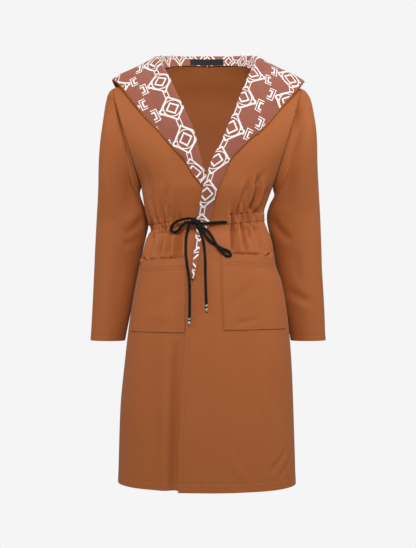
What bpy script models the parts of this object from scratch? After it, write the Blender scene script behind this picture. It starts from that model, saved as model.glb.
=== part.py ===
"""Hooded coat, filled out as worn, in metres, +Z up.

The origin is the middle of the neck opening at shoulder height. The front faces -Y and +X is the
viewer's right. Each cut piece is one closed wall. Its middle surface is a grid of points that comes
from the body tables below, and the wall is that grid moved out and in by half the cloth.
"""
import math
from collections import namedtuple

import bmesh
import bpy
import numpy as np

# Driving sizes
CLOTH = 0.0012
LAYER_GAP = 0.0003
SEAM_GAP = 0.0007
# The hood's seam edge stands this far above the back neckline
NECK_SEAM_GAP = 0.0028
HEM_Z = {-1: -0.977, 1: -0.981}
PIT_Z = -0.272
PIT_X = 0.157
SHOULDER_X = 0.226
SHOULDER_Z = -0.034
NECK_X = 0.107
WAIST_Z = -0.36
WAIST_HALF = 0.1335
# The waist channel rises by this much from the middle front to the right side seam
WAIST_RISE = 0.016
# How far below the shoulder line the front and the back reach their full depth
TURN = {-1: 0.20, 1: 0.14}
SQUARENESS = 2.3
ROLL_INSET = 0.0045
ROLL_GAP = 0.0016
LEFT, RIGHT = -1, 1
FRONT, BACK = -1, 1

# Half width to each side and depth to the front and back of the side seams, at each height
Level = namedtuple("Level", "z left right front back")
LEVELS = (
    Level(0.100, 0.360, 0.360, 0.080, 0.082),
    Level(0.000, 0.315, 0.315, 0.090, 0.088),
    Level(-0.040, 0.295, 0.295, 0.096, 0.094),
    Level(-0.100, 0.262, 0.262, 0.106, 0.099),
    Level(-0.160, 0.225, 0.225, 0.117, 0.103),
    Level(-0.220, 0.186, 0.186, 0.124, 0.103),
    Level(PIT_Z, PIT_X, PIT_X, 0.123, 0.100),
    Level(-0.300, 0.1525, 0.1440, 0.117, 0.096),
    Level(-0.335, 0.1460, 0.1325, 0.106, 0.089),
    Level(-0.355, 0.1390, 0.1350, 0.101, 0.086),
    Level(-0.374, 0.1320, 0.1430, 0.100, 0.086),
    Level(-0.400, 0.1425, 0.1545, 0.110, 0.097),
    Level(-0.430, 0.1530, 0.1600, 0.118, 0.107),
    Level(-0.460, 0.1615, 0.1650, 0.124, 0.115),
    Level(-0.500, 0.1700, 0.1790, 0.128, 0.122),
    Level(-0.600, 0.1865, 0.1950, 0.134, 0.130),
    Level(-0.700, 0.1980, 0.2030, 0.138, 0.134),
    Level(-0.800, 0.2075, 0.2070, 0.140, 0.136),
    Level(-0.981, 0.2130, 0.2125, 0.142, 0.138),
)

# Height of the shoulder line and of the cut back neck, out from the middle
Shoulder = namedtuple("Shoulder", "x z")
SHOULDER_LINE = (
    Shoulder(0.000, 0.085),
    Shoulder(0.050, 0.064),
    Shoulder(0.080, 0.045),
    Shoulder(NECK_X, 0.0135),
    Shoulder(0.160, -0.009),
    Shoulder(SHOULDER_X, SHOULDER_Z),
    Shoulder(0.300, -0.062),
)
BACK_NECK = (
    Shoulder(0.000, 0.030),
    Shoulder(0.050, 0.029),
    Shoulder(0.080, 0.0255),
    Shoulder(NECK_X, 0.0125),
)

# Roll line of each lapel and, below it, the front edge. out is away from the middle on the panel's side
Edge = namedtuple("Edge", "z out")
FRONT_EDGE = {
    LEFT: (
        Edge(0.014, 0.1040),
        Edge(-0.050, 0.0750),
        Edge(-0.109, 0.0475),
        Edge(-0.150, 0.0310),
        Edge(-0.217, 0.0140),
        Edge(-0.258, 0.0000),
        Edge(-0.280, -0.0060),
        Edge(-0.310, -0.0130),
        Edge(-0.370, -0.0240),
        Edge(-0.500, -0.0370),
        Edge(-0.620, -0.0500),
        Edge(-0.981, -0.0610),
    ),
    RIGHT: (
        Edge(0.016, 0.1090),
        Edge(-0.070, 0.0760),
        Edge(-0.157, 0.0415),
        Edge(-0.217, 0.0127),
        Edge(-0.247, 0.0023),
        Edge(-0.277, -0.0069),
        Edge(-0.302, -0.0115),
        Edge(-0.334, -0.0196),
        Edge(-0.369, -0.0230),
        Edge(-0.466, -0.0325),
        Edge(-0.500, -0.0372),
        Edge(-0.617, -0.0490),
        Edge(-0.906, -0.0650),
        Edge(-0.981, -0.0663),
    ),
}
ROLL_END_Z = {LEFT: -0.31, RIGHT: -0.52}

# How far the left front sinks under the right one, at the hem and above the waist, and where that
# begins: out from the middle, across the waist and at the top
LAP_DEPTH = (0.0045, 0.0085)
LAP_X = (-0.100, -0.050)
LAP_WAIST_Z = (-0.42, -0.32)
LAP_TOP_Z = (-0.10, -0.20)

# Gathers at the waist channel: angle round from the middle front, how deep the trough is, and how far
# it runs above and below the waist
Gather = namedtuple("Gather", "angle depth above below")
GATHERS = {
    (LEFT, FRONT): (
        Gather(27.0, 0.0048, 0.030, 0.075),
        Gather(36.0, 0.0048, 0.045, 0.060),
        Gather(47.0, 0.0064, 0.050, 0.080),
        Gather(58.0, 0.0040, 0.030, 0.045),
        Gather(70.0, 0.0048, 0.035, 0.050),
    ),
    (RIGHT, FRONT): (
        Gather(27.0, 0.0056, 0.035, 0.110),
        Gather(34.0, 0.0048, 0.050, 0.055),
        Gather(41.0, 0.0048, 0.055, 0.045),
        Gather(47.5, 0.0064, 0.040, 0.075),
        Gather(54.5, 0.0064, 0.060, 0.050),
        Gather(62.0, 0.0056, 0.035, 0.060),
        Gather(70.0, 0.0048, 0.045, 0.045),
    ),
    (LEFT, BACK): (
        Gather(12.0, 0.0056, 0.045, 0.070),
        Gather(24.0, 0.0048, 0.035, 0.055),
        Gather(36.0, 0.0064, 0.055, 0.080),
        Gather(49.0, 0.0048, 0.040, 0.050),
        Gather(62.0, 0.0056, 0.045, 0.065),
    ),
    (RIGHT, BACK): (
        Gather(9.0, 0.0048, 0.040, 0.055),
        Gather(21.0, 0.0064, 0.055, 0.075),
        Gather(34.0, 0.0048, 0.040, 0.050),
        Gather(46.0, 0.0056, 0.050, 0.070),
        Gather(60.0, 0.0048, 0.035, 0.055),
    ),
}

# Ridge between two gathers as a share of their depth, and the reach of the first and last, in degrees
RIDGE = 0.35
GATHER_REACH = 12.0
# Columns of a front over its plain part, and the angle of the last column before the side seam
PLAIN_COLUMNS = 4
LAST_ANGLE = 83.0

# Heights at which the panels have a row of points: parts of the way from the shoulder seam to the
# underarm, then heights below it
SHOULDER_ROWS = (0.0, 0.02, 0.07, 0.15, 0.27, 0.42, 0.58, 0.74, 0.88, 1.0)
LOWER_ROWS = (
    -0.290, -0.308, -0.326, -0.342, -0.357, -0.372, -0.388, -0.406,
    -0.430, -0.460, -0.500, -0.560, -0.640, -0.740, -0.860, -0.981,
)

# Sleeve sections: outer and inner point seen from the front, half depth, how far back the middle
# lies, and how far the section has turned from the armhole's own shape into a smooth round
Ring = namedtuple("Ring", "out_x out_z in_x in_z half_depth middle_y smooth")
SLEEVES = {
    LEFT: (
        Ring(SHOULDER_X, SHOULDER_Z, PIT_X, PIT_Z, 0.066, 0.000, 0.0),
        Ring(0.2365, -0.0470, 0.1590, -0.2790, 0.067, 0.001, 0.25),
        Ring(0.2445, -0.0760, 0.1600, -0.2860, 0.067, 0.004, 0.6),
        Ring(0.2510, -0.1250, 0.1580, -0.2950, 0.066, 0.010, 0.9),
        Ring(0.2590, -0.2270, 0.1520, -0.3130, 0.063, 0.026, 1.0),
        Ring(0.2675, -0.3300, 0.1400, -0.3470, 0.059, 0.040, 1.0),
        Ring(0.2720, -0.4100, 0.1530, -0.4130, 0.055, 0.042, 1.0),
        Ring(0.2745, -0.4700, 0.1650, -0.4710, 0.051, 0.041, 1.0),
        Ring(0.2780, -0.5500, 0.1800, -0.5500, 0.046, 0.038, 1.0),
        Ring(0.2825, -0.6410, 0.1986, -0.6410, 0.041, 0.034, 1.0),
    ),
    RIGHT: (
        Ring(SHOULDER_X, SHOULDER_Z, PIT_X, PIT_Z, 0.066, 0.000, 0.0),
        Ring(0.2390, -0.0440, 0.1585, -0.2790, 0.067, 0.001, 0.25),
        Ring(0.2510, -0.0680, 0.1605, -0.2860, 0.067, 0.003, 0.6),
        Ring(0.2580, -0.1250, 0.1590, -0.2950, 0.066, 0.006, 0.9),
        Ring(0.2670, -0.2270, 0.1500, -0.3130, 0.063, 0.022, 1.0),
        Ring(0.2745, -0.3300, 0.1445, -0.3470, 0.059, 0.036, 1.0),
        Ring(0.2780, -0.4100, 0.1580, -0.4130, 0.055, 0.040, 1.0),
        Ring(0.2800, -0.4700, 0.1690, -0.4710, 0.051, 0.041, 1.0),
        Ring(0.2845, -0.5500, 0.1850, -0.5500, 0.046, 0.038, 1.0),
        Ring(0.2880, -0.6410, 0.2030, -0.6410, 0.041, 0.036, 1.0),
    ),
}
SLEEVE_SIDES = 18
SLEEVE_RINGS = 19
# The armhole seam is open by this much more under the arm, where the cloth turns back on itself
PIT_GAP = 0.0016

# Hood sections behind the shoulders, from the middle back to the shoulder tip. Each runs from the neck
# seam over the roll, down inside the pouch, round its bottom and up to the face edge
Section = namedtuple("Section", "seam roll over inner low_in low_out outer edge")
HOOD_BACK = (
    Section(
        (0.0000, 0.0690, 0.0310), (0.0000, 0.0880, 0.0605), (0.0000, 0.1010, 0.0500),
        (0.0000, 0.1140, -0.0400), (0.0000, 0.1300, -0.1950), (0.0000, 0.1580, -0.1920),
        (0.0000, 0.1720, -0.1150), (0.0000, 0.1600, -0.0220),
    ),
    Section(
        (0.0500, 0.0585, 0.0300), (0.0530, 0.0830, 0.0595), (0.0580, 0.0950, 0.0490),
        (0.0700, 0.1080, -0.0340), (0.0760, 0.1260, -0.1720), (0.0800, 0.1520, -0.1700),
        (0.0840, 0.1640, -0.1050), (0.0820, 0.1500, -0.0330),
    ),
    Section(
        (0.0880, 0.0370, 0.0255), (0.0990, 0.0610, 0.0570), (0.1080, 0.0710, 0.0460),
        (0.1270, 0.0890, -0.0140), (0.1430, 0.1060, -0.0950), (0.1580, 0.1240, -0.0980),
        (0.1670, 0.1345, -0.0740), (0.1690, 0.1310, -0.0470),
    ),
    Section(
        (0.1040, 0.0150, 0.0185), (0.1195, 0.0340, 0.0500), (0.1300, 0.0420, 0.0400),
        (0.1530, 0.0540, 0.0080), (0.1750, 0.0670, -0.0200), (0.1920, 0.0780, -0.0330),
        (0.2040, 0.0820, -0.0370), (0.2130, 0.0780, -0.0340),
    ),
)
SHOULDER_TIP = {
    LEFT: Section(
        (0.1070, 0.0000, 0.0150), (0.1205, 0.0090, 0.0450), (0.1300, 0.0100, 0.0400),
        (0.1500, 0.0080, 0.0300), (0.1720, 0.0050, 0.0180), (0.1920, 0.0030, 0.0080),
        (0.2110, 0.0010, -0.0010), (0.2280, 0.0000, -0.0120),
    ),
    RIGHT: Section(
        (0.1070, 0.0000, 0.0150), (0.1235, 0.0090, 0.0450), (0.1330, 0.0100, 0.0395),
        (0.1530, 0.0080, 0.0280), (0.1760, 0.0050, 0.0150), (0.1970, 0.0030, 0.0050),
        (0.2160, 0.0010, -0.0050), (0.2340, 0.0000, -0.0165),
    ),
}
# Lapel sections, seen from the front: the roll and the outer edge, how far the neck seam lies below the
# roll, and how far the roll, the flap beside it and the edge stand before the coat
Lapel = namedtuple("Lapel", "roll_x roll_z roll_ahead seam_drop over_ahead puff edge_x edge_z edge_ahead")
LAPELS = {
    LEFT: (
        Lapel(0.1040, 0.0140, 0.0140, 0.0060, 0.0240, 0.0040, 0.2070, -0.0310, 0.0200),
        Lapel(0.0900, -0.0160, 0.0065, 0.0050, 0.0110, 0.0040, 0.1840, -0.0615, 0.0130),
        Lapel(0.0755, -0.0490, 0.0045, 0.0045, 0.0090, 0.0030, 0.1647, -0.0870, 0.0095),
        Lapel(0.0620, -0.0780, 0.0040, 0.0040, 0.0080, 0.0030, 0.1453, -0.1118, 0.0080),
        Lapel(0.0435, -0.1180, 0.0037, 0.0037, 0.0075, 0.0030, 0.1094, -0.1513, 0.0065),
        Lapel(0.0270, -0.1620, 0.0035, 0.0035, 0.0070, 0.0020, 0.0800, -0.1860, 0.0060),
        Lapel(0.0140, -0.2170, 0.0030, 0.0030, 0.0060, 0.0020, 0.0518, -0.2170, 0.0055),
        Lapel(0.0025, -0.2510, 0.0025, 0.0025, 0.0050, 0.0010, 0.0345, -0.2460, 0.0048),
        Lapel(-0.0050, -0.2770, 0.0024, 0.0024, 0.0048, 0.0000, 0.0103, -0.2780, 0.0046),
        Lapel(-0.0105, -0.2980, 0.0024, 0.0024, 0.0048, 0.0000, 0.0000, -0.2985, 0.0046),
    ),
    RIGHT: (
        Lapel(0.1090, 0.0140, 0.0140, 0.0060, 0.0240, 0.0040, 0.2150, -0.0400, 0.0200),
        Lapel(0.0940, -0.0230, 0.0065, 0.0050, 0.0110, 0.0040, 0.1967, -0.0625, 0.0140),
        Lapel(0.0790, -0.0620, 0.0045, 0.0045, 0.0090, 0.0030, 0.1620, -0.1040, 0.0090),
        Lapel(0.0620, -0.1060, 0.0040, 0.0040, 0.0080, 0.0030, 0.1283, -0.1435, 0.0075),
        Lapel(0.0415, -0.1570, 0.0037, 0.0037, 0.0075, 0.0030, 0.0928, -0.1733, 0.0065),
        Lapel(0.0150, -0.2120, 0.0032, 0.0032, 0.0065, 0.0020, 0.0560, -0.2140, 0.0060),
        Lapel(0.0023, -0.2470, 0.0030, 0.0030, 0.0060, 0.0020, 0.0415, -0.2470, 0.0055),
        Lapel(-0.0069, -0.2770, 0.0027, 0.0027, 0.0055, 0.0020, 0.0277, -0.2770, 0.0055),
        Lapel(-0.0115, -0.3020, 0.0025, 0.0025, 0.0050, 0.0010, 0.0205, -0.3020, 0.0050),
        Lapel(-0.0196, -0.3340, 0.0024, 0.0024, 0.0048, 0.0010, 0.0140, -0.3340, 0.0046),
        Lapel(-0.0227, -0.3650, 0.0025, 0.0025, 0.0050, 0.0000, 0.0060, -0.3640, 0.0048),
        Lapel(-0.0255, -0.3930, 0.0027, 0.0026, 0.0054, 0.0000, -0.0095, -0.3930, 0.0050),
        Lapel(-0.0291, -0.4300, 0.0026, 0.0026, 0.0053, 0.0000, -0.0165, -0.4300, 0.0050),
        Lapel(-0.0325, -0.4660, 0.0024, 0.0024, 0.0048, 0.0000, -0.0235, -0.4660, 0.0047),
        Lapel(-0.0360, -0.4900, 0.0024, 0.0024, 0.0048, 0.0000, -0.0285, -0.4900, 0.0046),
    ),
}
# Steps across the hood, in points of a section
POINTS = len(Section._fields)
HOOD_OVERS = (0, 0.5, 1, 1.5, 2, 2.6, 3.3, 4, 4.5, 5, 5.6, 6.3, 7)
# The flap turns over within this width, or this share of a narrow flap, and its other points lie at
# these shares of the rest
ROLL_WIDTH = 0.0030
ROLL_SHARE = 0.3
FLAP_SHARES = (0.22, 0.43, 0.62, 0.81, 1.0)

# Patch pockets: top edge height at the inner and outer end, bottom height, inner edge at top and bottom
Pocket = namedtuple("Pocket", "top_in top_out bottom in_top in_bottom side_margin")
POCKETS = {
    LEFT: Pocket(-0.4440, -0.4520, -0.6140, 0.0480, 0.0520, 0.012),
    RIGHT: Pocket(-0.4370, -0.4400, -0.6080, 0.0325, 0.0395, 0.012),
}
POCKET_PUFF = 0.0035
MOUTH_GAPE = 0.0045
POCKET_GAP = 0.0007
POCKET_GRID = (9, 8)

FLAT_LABEL = (0.080, 0.0140)
LABEL_CLOTH = 0.0008
LABEL_COLUMNS = 5
LABEL_FOOT_Z = 0.0320

# Drawcord: each route is seen from the front, with how far its middle stands before the coat
CORD = 0.0056
CORD_STEP = 1.8 * CORD
# Thicker than its routes were laid for, the whole drawcord stands this much further ahead
CORD_LIFT = 0.0006
ROUND_SIDES = 10
CORDS = {
    "cord_loop_left": (
        (-0.0500, -0.3525, 0.0110), (-0.0610, -0.3545, 0.0100), (-0.0728, -0.3600, 0.0080),
        (-0.0820, -0.3690, 0.0065), (-0.0835, -0.3775, 0.0060), (-0.0770, -0.3825, 0.0060),
        (-0.0690, -0.3800, 0.0065), (-0.0600, -0.3710, 0.0080), (-0.0500, -0.3600, 0.0110),
    ),
    "cord_loop_right": (
        (0.0010, -0.3790, 0.0125), (0.0093, -0.3900, 0.0110), (0.0180, -0.4060, 0.0105),
        (0.0250, -0.4170, 0.0105), (0.0364, -0.4300, 0.0090), (0.0470, -0.4385, 0.0085),
        (0.0540, -0.4370, 0.0085), (0.0530, -0.4305, 0.0080), (0.0460, -0.4255, 0.0070),
        (0.0350, -0.4215, 0.0055), (0.0210, -0.4130, 0.0045), (0.0093, -0.4060, 0.0050),
        (0.0000, -0.3960, 0.0080), (-0.0070, -0.3840, 0.0115),
    ),
    "cord_strand": (
        (-0.0055, -0.3635, 0.0115), (0.0030, -0.3622, 0.0102), (0.0117, -0.3612, 0.0085),
        (0.0250, -0.3602, 0.0055), (0.0378, -0.3596, 0.0038), (0.0459, -0.3601, 0.0033),
    ),
    "cord_end_left": (
        (-0.0403, -0.3637, 0.0120), (-0.0445, -0.3762, 0.0110), (-0.0475, -0.3913, 0.0085),
        (-0.0486, -0.4148, 0.0060), (-0.0482, -0.4382, 0.0045), (-0.0459, -0.4559, 0.0040),
        (-0.0420, -0.4782, 0.0045), (-0.0400, -0.5049, 0.0050), (-0.0395, -0.5394, 0.0045),
        (-0.0401, -0.5807, 0.0042),
    ),
    "cord_end_right": (
        (-0.0185, -0.3750, 0.0125), (-0.0141, -0.3869, 0.0108), (-0.0082, -0.4055, 0.0085),
        (-0.0054, -0.4268, 0.0062), (-0.0040, -0.4498, 0.0045), (-0.0036, -0.4794, 0.0040),
        (-0.0026, -0.5163, 0.0040), (-0.0013, -0.5500, 0.0040),
    ),
}
Knot = namedtuple("Knot", "x z ahead wide deep")
KNOT = (
    Knot(-0.0475, -0.3560, 0.0115, 0.0052, 0.0040),
    Knot(-0.0410, -0.3562, 0.0118, 0.0066, 0.0052),
    Knot(-0.0310, -0.3580, 0.0120, 0.0074, 0.0058),
    Knot(-0.0210, -0.3625, 0.0132, 0.0070, 0.0056),
    Knot(-0.0120, -0.3690, 0.0136, 0.0060, 0.0050),
    Knot(-0.0050, -0.3745, 0.0130, 0.0048, 0.0040),
)
Tip = namedtuple("Tip", "along radius")
TIP = (
    Tip(0.0000, 0.0027), Tip(0.0004, 0.0032), Tip(0.0040, 0.0032), Tip(0.0046, 0.0026),
    Tip(0.0090, 0.0026), Tip(0.0096, 0.0031), Tip(0.0140, 0.0031), Tip(0.0160, 0.0020),
)

COLOURS = {
    "shell": ((0.352, 0.112, 0.036, 1.0), 0.85, 0.0),
    "print": ((0.352, 0.115, 0.076, 1.0), 0.80, 0.0),
    "cord": ((0.008, 0.009, 0.009, 1.0), 0.70, 0.0),
    "metal": ((0.620, 0.620, 0.610, 1.0), 0.25, 1.0),
    "label": ((0.008, 0.008, 0.009, 1.0), 0.65, 0.0),
}


def steady(knots, values, at):
    """Curve through a table's points that never swings past them."""
    knots = np.asarray(knots, float)
    values = np.asarray(values, float)
    step = np.diff(knots)
    slope = np.diff(values) / step
    turn = np.zeros_like(values)
    turn[0], turn[-1] = slope[0], slope[-1]
    for i in range(1, len(values) - 1):
        if slope[i - 1] * slope[i] > 0:
            near, far = 2 * step[i] + step[i - 1], step[i] + 2 * step[i - 1]
            turn[i] = (near + far) / (near / slope[i - 1] + far / slope[i])
    return hermite(knots, values, turn, at)


def round_curve(knots, values, at):
    """Curve through points that swings freely, for profiles and cords."""
    knots = np.asarray(knots, float)
    values = np.asarray(values, float)
    step = np.diff(knots)[:, None]
    slope = np.diff(values, axis=0) / step
    turn = np.empty_like(values)
    turn[0], turn[-1] = slope[0], slope[-1]
    turn[1:-1] = (step[1:] * slope[:-1] + step[:-1] * slope[1:]) / (step[1:] + step[:-1])
    return hermite(knots, values, turn, at)


def hermite(knots, values, turn, at):
    at = np.clip(np.asarray(at, float), knots[0], knots[-1])
    i = np.clip(np.searchsorted(knots, at, side="right") - 1, 0, len(knots) - 2)
    step = knots[i + 1] - knots[i]
    t = (at - knots[i]) / step
    if values.ndim > 1:
        t, step = t[:, None], step[:, None]
    return (values[i] * (1 + 2 * t) * (1 - t) ** 2 + turn[i] * step * t * (1 - t) ** 2
            + values[i + 1] * t * t * (3 - 2 * t) + turn[i + 1] * step * t * t * (t - 1))


def ease(low, high, value):
    t = np.clip((value - low) / (high - low), 0.0, 1.0)
    return t * t * (3 - 2 * t)


def column(table, name, at):
    """Value of one named column of a table, whose first column is its height or reach."""
    rows = sorted(table)
    return steady([row[0] for row in rows], [getattr(row, name) for row in rows], at)


def shoulder_z(x):
    return column(SHOULDER_LINE, "z", abs(x))


def half_width(z, side):
    return column(LEVELS, "left" if side == LEFT else "right", z)


def surface_y(x, z, face):
    """Depth of the coat's front or back at a place seen from the front."""
    side = LEFT if x < 0 else RIGHT
    share = min(1.0, abs(x) / float(half_width(z, side)))
    across = (1 - share ** SQUARENESS) ** (1 / SQUARENESS)
    below = min(1.0, max(0.0, (float(shoulder_z(x)) - z) / TURN[face]))
    over = math.sqrt(1 - (1 - below) ** 2)
    return face * float(column(LEVELS, "front" if face == FRONT else "back", z)) * across * over


def armhole_x(z):
    return PIT_X + (SHOULDER_X - PIT_X) * (z - PIT_Z) / (SHOULDER_Z - PIT_Z)


def underlap(x, z):
    """How far the left front sinks where the right one laps over it."""
    low, high = LAP_DEPTH
    deep = low + (high - low) * float(ease(*LAP_WAIST_Z, z))
    return deep * float(ease(*LAP_X, x)) * float(ease(*LAP_TOP_Z, z))


def front_y(side, x, z):
    y = surface_y(x, z, FRONT)
    return y + underlap(x, z) if side == LEFT else y


def edge_out(side, z):
    """Front edge of a panel, out from the middle on the panel's own side."""
    inset = ROLL_INSET * float(ease(ROLL_END_Z[side] - 0.01, ROLL_END_Z[side] + 0.02, z))
    return float(column(FRONT_EDGE[side], "out", z)) + inset


def gather_depth(side, face, angle, z):
    """Sum of the waist gathers at a place: troughs go in, the cloth between them stands out."""
    total = 0.0
    table = GATHERS[side, face]
    waist = WAIST_Z + WAIST_RISE * side * math.sin(math.radians(angle))
    for i, row in enumerate(table):
        before = table[i - 1].angle if i else row.angle - GATHER_REACH
        after = table[i + 1].angle if i + 1 < len(table) else row.angle + GATHER_REACH
        reach = (row.angle - before if angle < row.angle else after - row.angle) / 2
        if abs(angle - row.angle) > reach:
            continue
        shape = max(-RIDGE, 1 - (1 + RIDGE) * abs(angle - row.angle) / reach)
        run = row.above if z > waist else row.below
        total += row.depth * shape * math.exp(-((z - waist) / run) ** 2)
    return total


def panel_point(side, face, z, angle_share, top_share=None):
    """Point of a body panel. angle_share runs from its inner edge, 0, to the side seam, 1."""
    x = 0.0
    height = z
    for _ in range(8 if top_share is not None else 1):
        if top_share is not None:
            reach = abs(x)
            top = float(shoulder_z(reach))
            if face == BACK and reach < NECK_X:
                top = float(column(BACK_NECK, "z", reach))
            height = top * (1 - top_share) + PIT_Z * top_share
        outer = armhole_x(height) if height > PIT_Z else float(half_width(height, side))
        inner = edge_out(side, height) if face == FRONT else 0.0
        wide = float(half_width(height, side if inner >= 0 else -side))
        low = math.asin(max(-1.0, min(1.0, inner / wide)))
        high = math.asin(min(1.0, outer / float(half_width(height, side))))
        angle = low + (high - low) * angle_share
        wide = float(half_width(height, side if angle >= 0 else -side))
        x = side * wide * math.sin(angle)
    y = front_y(side, x, height) if face == FRONT else surface_y(x, height, BACK)
    fold = gather_depth(side, face, math.degrees(angle), height)
    x -= side * math.sin(angle) * fold
    y -= face * math.cos(angle) * fold
    return (x, y, height)


def panel_shares(side, face):
    """Places of the columns: even over the plain part, then one on each trough and each ridge."""
    edge = math.degrees(math.asin(edge_out(side, WAIST_Z) / WAIST_HALF)) if face == FRONT else 0.0
    angles = [row.angle for row in GATHERS[side, face]]
    folds = [angles[0] - GATHER_REACH / 3]
    for i, angle in enumerate(angles):
        folds.append(angle)
        after = angles[i + 1] if i + 1 < len(angles) else angle + GATHER_REACH * 2 / 3
        folds.append((angle + after) / 2)
    plain = np.linspace(edge, folds[0], PLAIN_COLUMNS + 1 if face == FRONT else 2)[:-1]
    shares = [(a - edge) / (90.0 - edge) for a in [*plain, *folds, LAST_ANGLE]]
    return [*shares, 1.0]


def panel_grid(side, face, shares):
    low = HEM_Z[side]
    rows = [[panel_point(side, face, None, share, q) for share in shares] for q in SHOULDER_ROWS]
    heights = [max(z, low) for z in LOWER_ROWS]
    rows += [[panel_point(side, face, z, share) for share in shares] for z in heights]
    return np.array(rows)


def normals(grid, ring=False):
    """Unit normal at each point of a grid, from its neighbours."""
    if ring:
        across = np.roll(grid, -1, axis=1) - np.roll(grid, 1, axis=1)
    else:
        across = np.gradient(grid, axis=1)
    along = np.gradient(grid, axis=0)
    normal = np.cross(along, across)
    return normal / np.maximum(np.linalg.norm(normal, axis=2, keepdims=True), 1e-9)


def material(name):
    existing = bpy.data.materials.get(name)
    if existing:
        return existing
    colour, roughness, metallic = COLOURS[name]
    new = bpy.data.materials.new(name)
    new.use_nodes = True
    shader = new.node_tree.nodes["Principled BSDF"]
    shader.inputs["Base Color"].default_value = colour
    shader.inputs["Roughness"].default_value = roughness
    shader.inputs["Metallic"].default_value = metallic
    new.diffuse_color = colour
    return new


def add_object(name, points, faces, finish):
    mesh = bpy.data.meshes.new(name)
    mesh.from_pydata([tuple(p) for p in points], [], faces)
    shape = bmesh.new()
    shape.from_mesh(mesh)
    bmesh.ops.recalc_face_normals(shape, faces=shape.faces)
    if shape.calc_volume(signed=True) < 0:
        bmesh.ops.reverse_faces(shape, faces=shape.faces)
    shape.to_mesh(mesh)
    shape.free()
    mesh.shade_smooth()
    mesh.set_sharp_from_angle(angle=math.radians(50))
    mesh.materials.append(material(finish))
    piece = bpy.data.objects.new(name, mesh)
    bpy.context.collection.objects.link(piece)
    return piece


def add_wall(name, grid, finish, shift=0.0, ring=False, thick=CLOTH):
    """Closed wall about a grid of points, moved along its normals by shift."""
    normal = normals(grid, ring)
    outside = (grid + normal * (shift + thick / 2)).reshape(-1, 3)
    inside = (grid + normal * (shift - thick / 2)).reshape(-1, 3)
    rows, cols = grid.shape[:2]
    count = rows * cols
    faces = []
    spans = cols if ring else cols - 1
    for r in range(rows - 1):
        for c in range(spans):
            a, b = r * cols + c, r * cols + (c + 1) % cols
            faces.append((a, b, b + cols, a + cols))
            faces.append((count + a, count + a + cols, count + b + cols, count + b))
    for c in range(spans):
        a, b = c, (c + 1) % cols
        faces.append((a, count + a, count + b, b))
        last = (rows - 1) * cols
        faces.append((last + a, last + b, count + last + b, count + last + a))
    if not ring:
        for r in range(rows - 1):
            a = r * cols
            faces.append((a, a + cols, count + a + cols, count + a))
            b = a + cols - 1
            faces.append((b, count + b, count + b + cols, b + cols))
    return add_object(name, np.vstack([outside, inside]), faces, finish)


def make_fronts():
    for side, name in ((LEFT, "front_left"), (RIGHT, "front_right")):
        add_wall(name, panel_grid(side, FRONT, panel_shares(side, FRONT)), "shell")


def make_back():
    """The back has no middle seam. Its columns run from the left side seam to the right one."""
    left = panel_grid(LEFT, BACK, panel_shares(LEFT, BACK))
    right = panel_grid(RIGHT, BACK, panel_shares(RIGHT, BACK))
    grid = np.concatenate([left[:, :0:-1], right], axis=1)
    low = min(HEM_Z.values())
    grid[-1, :, 2] = np.maximum(grid[-1, :, 2], low)
    grid = part_from_fronts(grid)
    add_wall("back", grid, "shell")


def part_from_fronts(grid):
    """Keeps the seams open: the side and shoulder edges are drawn back along the cloth."""
    apart = grid.copy()
    side_seam = grid[:, 0, 2] < PIT_Z + 0.001
    for c, inner in ((0, 1), (-1, -2)):
        way = grid[:, inner] - grid[:, c]
        way /= np.linalg.norm(way, axis=1, keepdims=True)
        apart[side_seam, c] += way[side_seam] * SEAM_GAP
    outside = np.abs(grid[0, :, 0]) > NECK_X - 0.01
    way = grid[1] - grid[0]
    way /= np.linalg.norm(way, axis=1, keepdims=True)
    apart[0, outside] += way[outside] * SEAM_GAP
    return apart


def armhole_y(c, face):
    """Depth of the armhole at c, which runs from 1 at the shoulder to -1 under the arm."""
    z = (SHOULDER_Z + PIT_Z) / 2 + c * (SHOULDER_Z - PIT_Z) / 2
    return surface_y(armhole_x(z), z, face)


def sleeve_grid(side, rings, sides):
    table = SLEEVES[side]
    knots = np.arange(len(table))
    at = np.linspace(0, len(table) - 1, rings)
    values = {name: round_curve(knots, np.array([[getattr(r, name)] for r in table]), at)[:, 0]
              for name in Ring._fields}
    grid = np.empty((rings, sides, 3))
    slope = np.array([SHOULDER_X - PIT_X, SHOULDER_Z - PIT_Z])
    away = np.array([-slope[1], slope[0]]) / np.linalg.norm(slope)
    away *= -1 if away[0] < 0 else 1
    for i in range(rings):
        row = {name: float(values[name][i]) for name in Ring._fields}
        free = 1 - row["smooth"]
        for k in range(sides):
            turn = 2 * math.pi * k / sides
            c = math.cos(turn)
            face = FRONT if math.sin(turn) >= 0 else BACK
            x = (row["out_x"] + row["in_x"]) / 2 + c * (row["out_x"] - row["in_x"]) / 2
            z = (row["out_z"] + row["in_z"]) / 2 + c * (row["out_z"] - row["in_z"]) / 2
            smooth = row["middle_y"] + face * row["half_depth"] * abs(math.sin(turn))
            y = smooth * row["smooth"] + armhole_y(c, face) * free
            gap = SEAM_GAP + (1 - c) / 2 * PIT_GAP
            grid[i, k] = (side * (x + away[0] * gap), y, z + away[1] * gap)
    return grid


def make_sleeves():
    for side, name in ((LEFT, "sleeve_left"), (RIGHT, "sleeve_right")):
        add_wall(name, sleeve_grid(side, SLEEVE_RINGS, SLEEVE_SIDES), "shell", ring=True)


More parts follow.
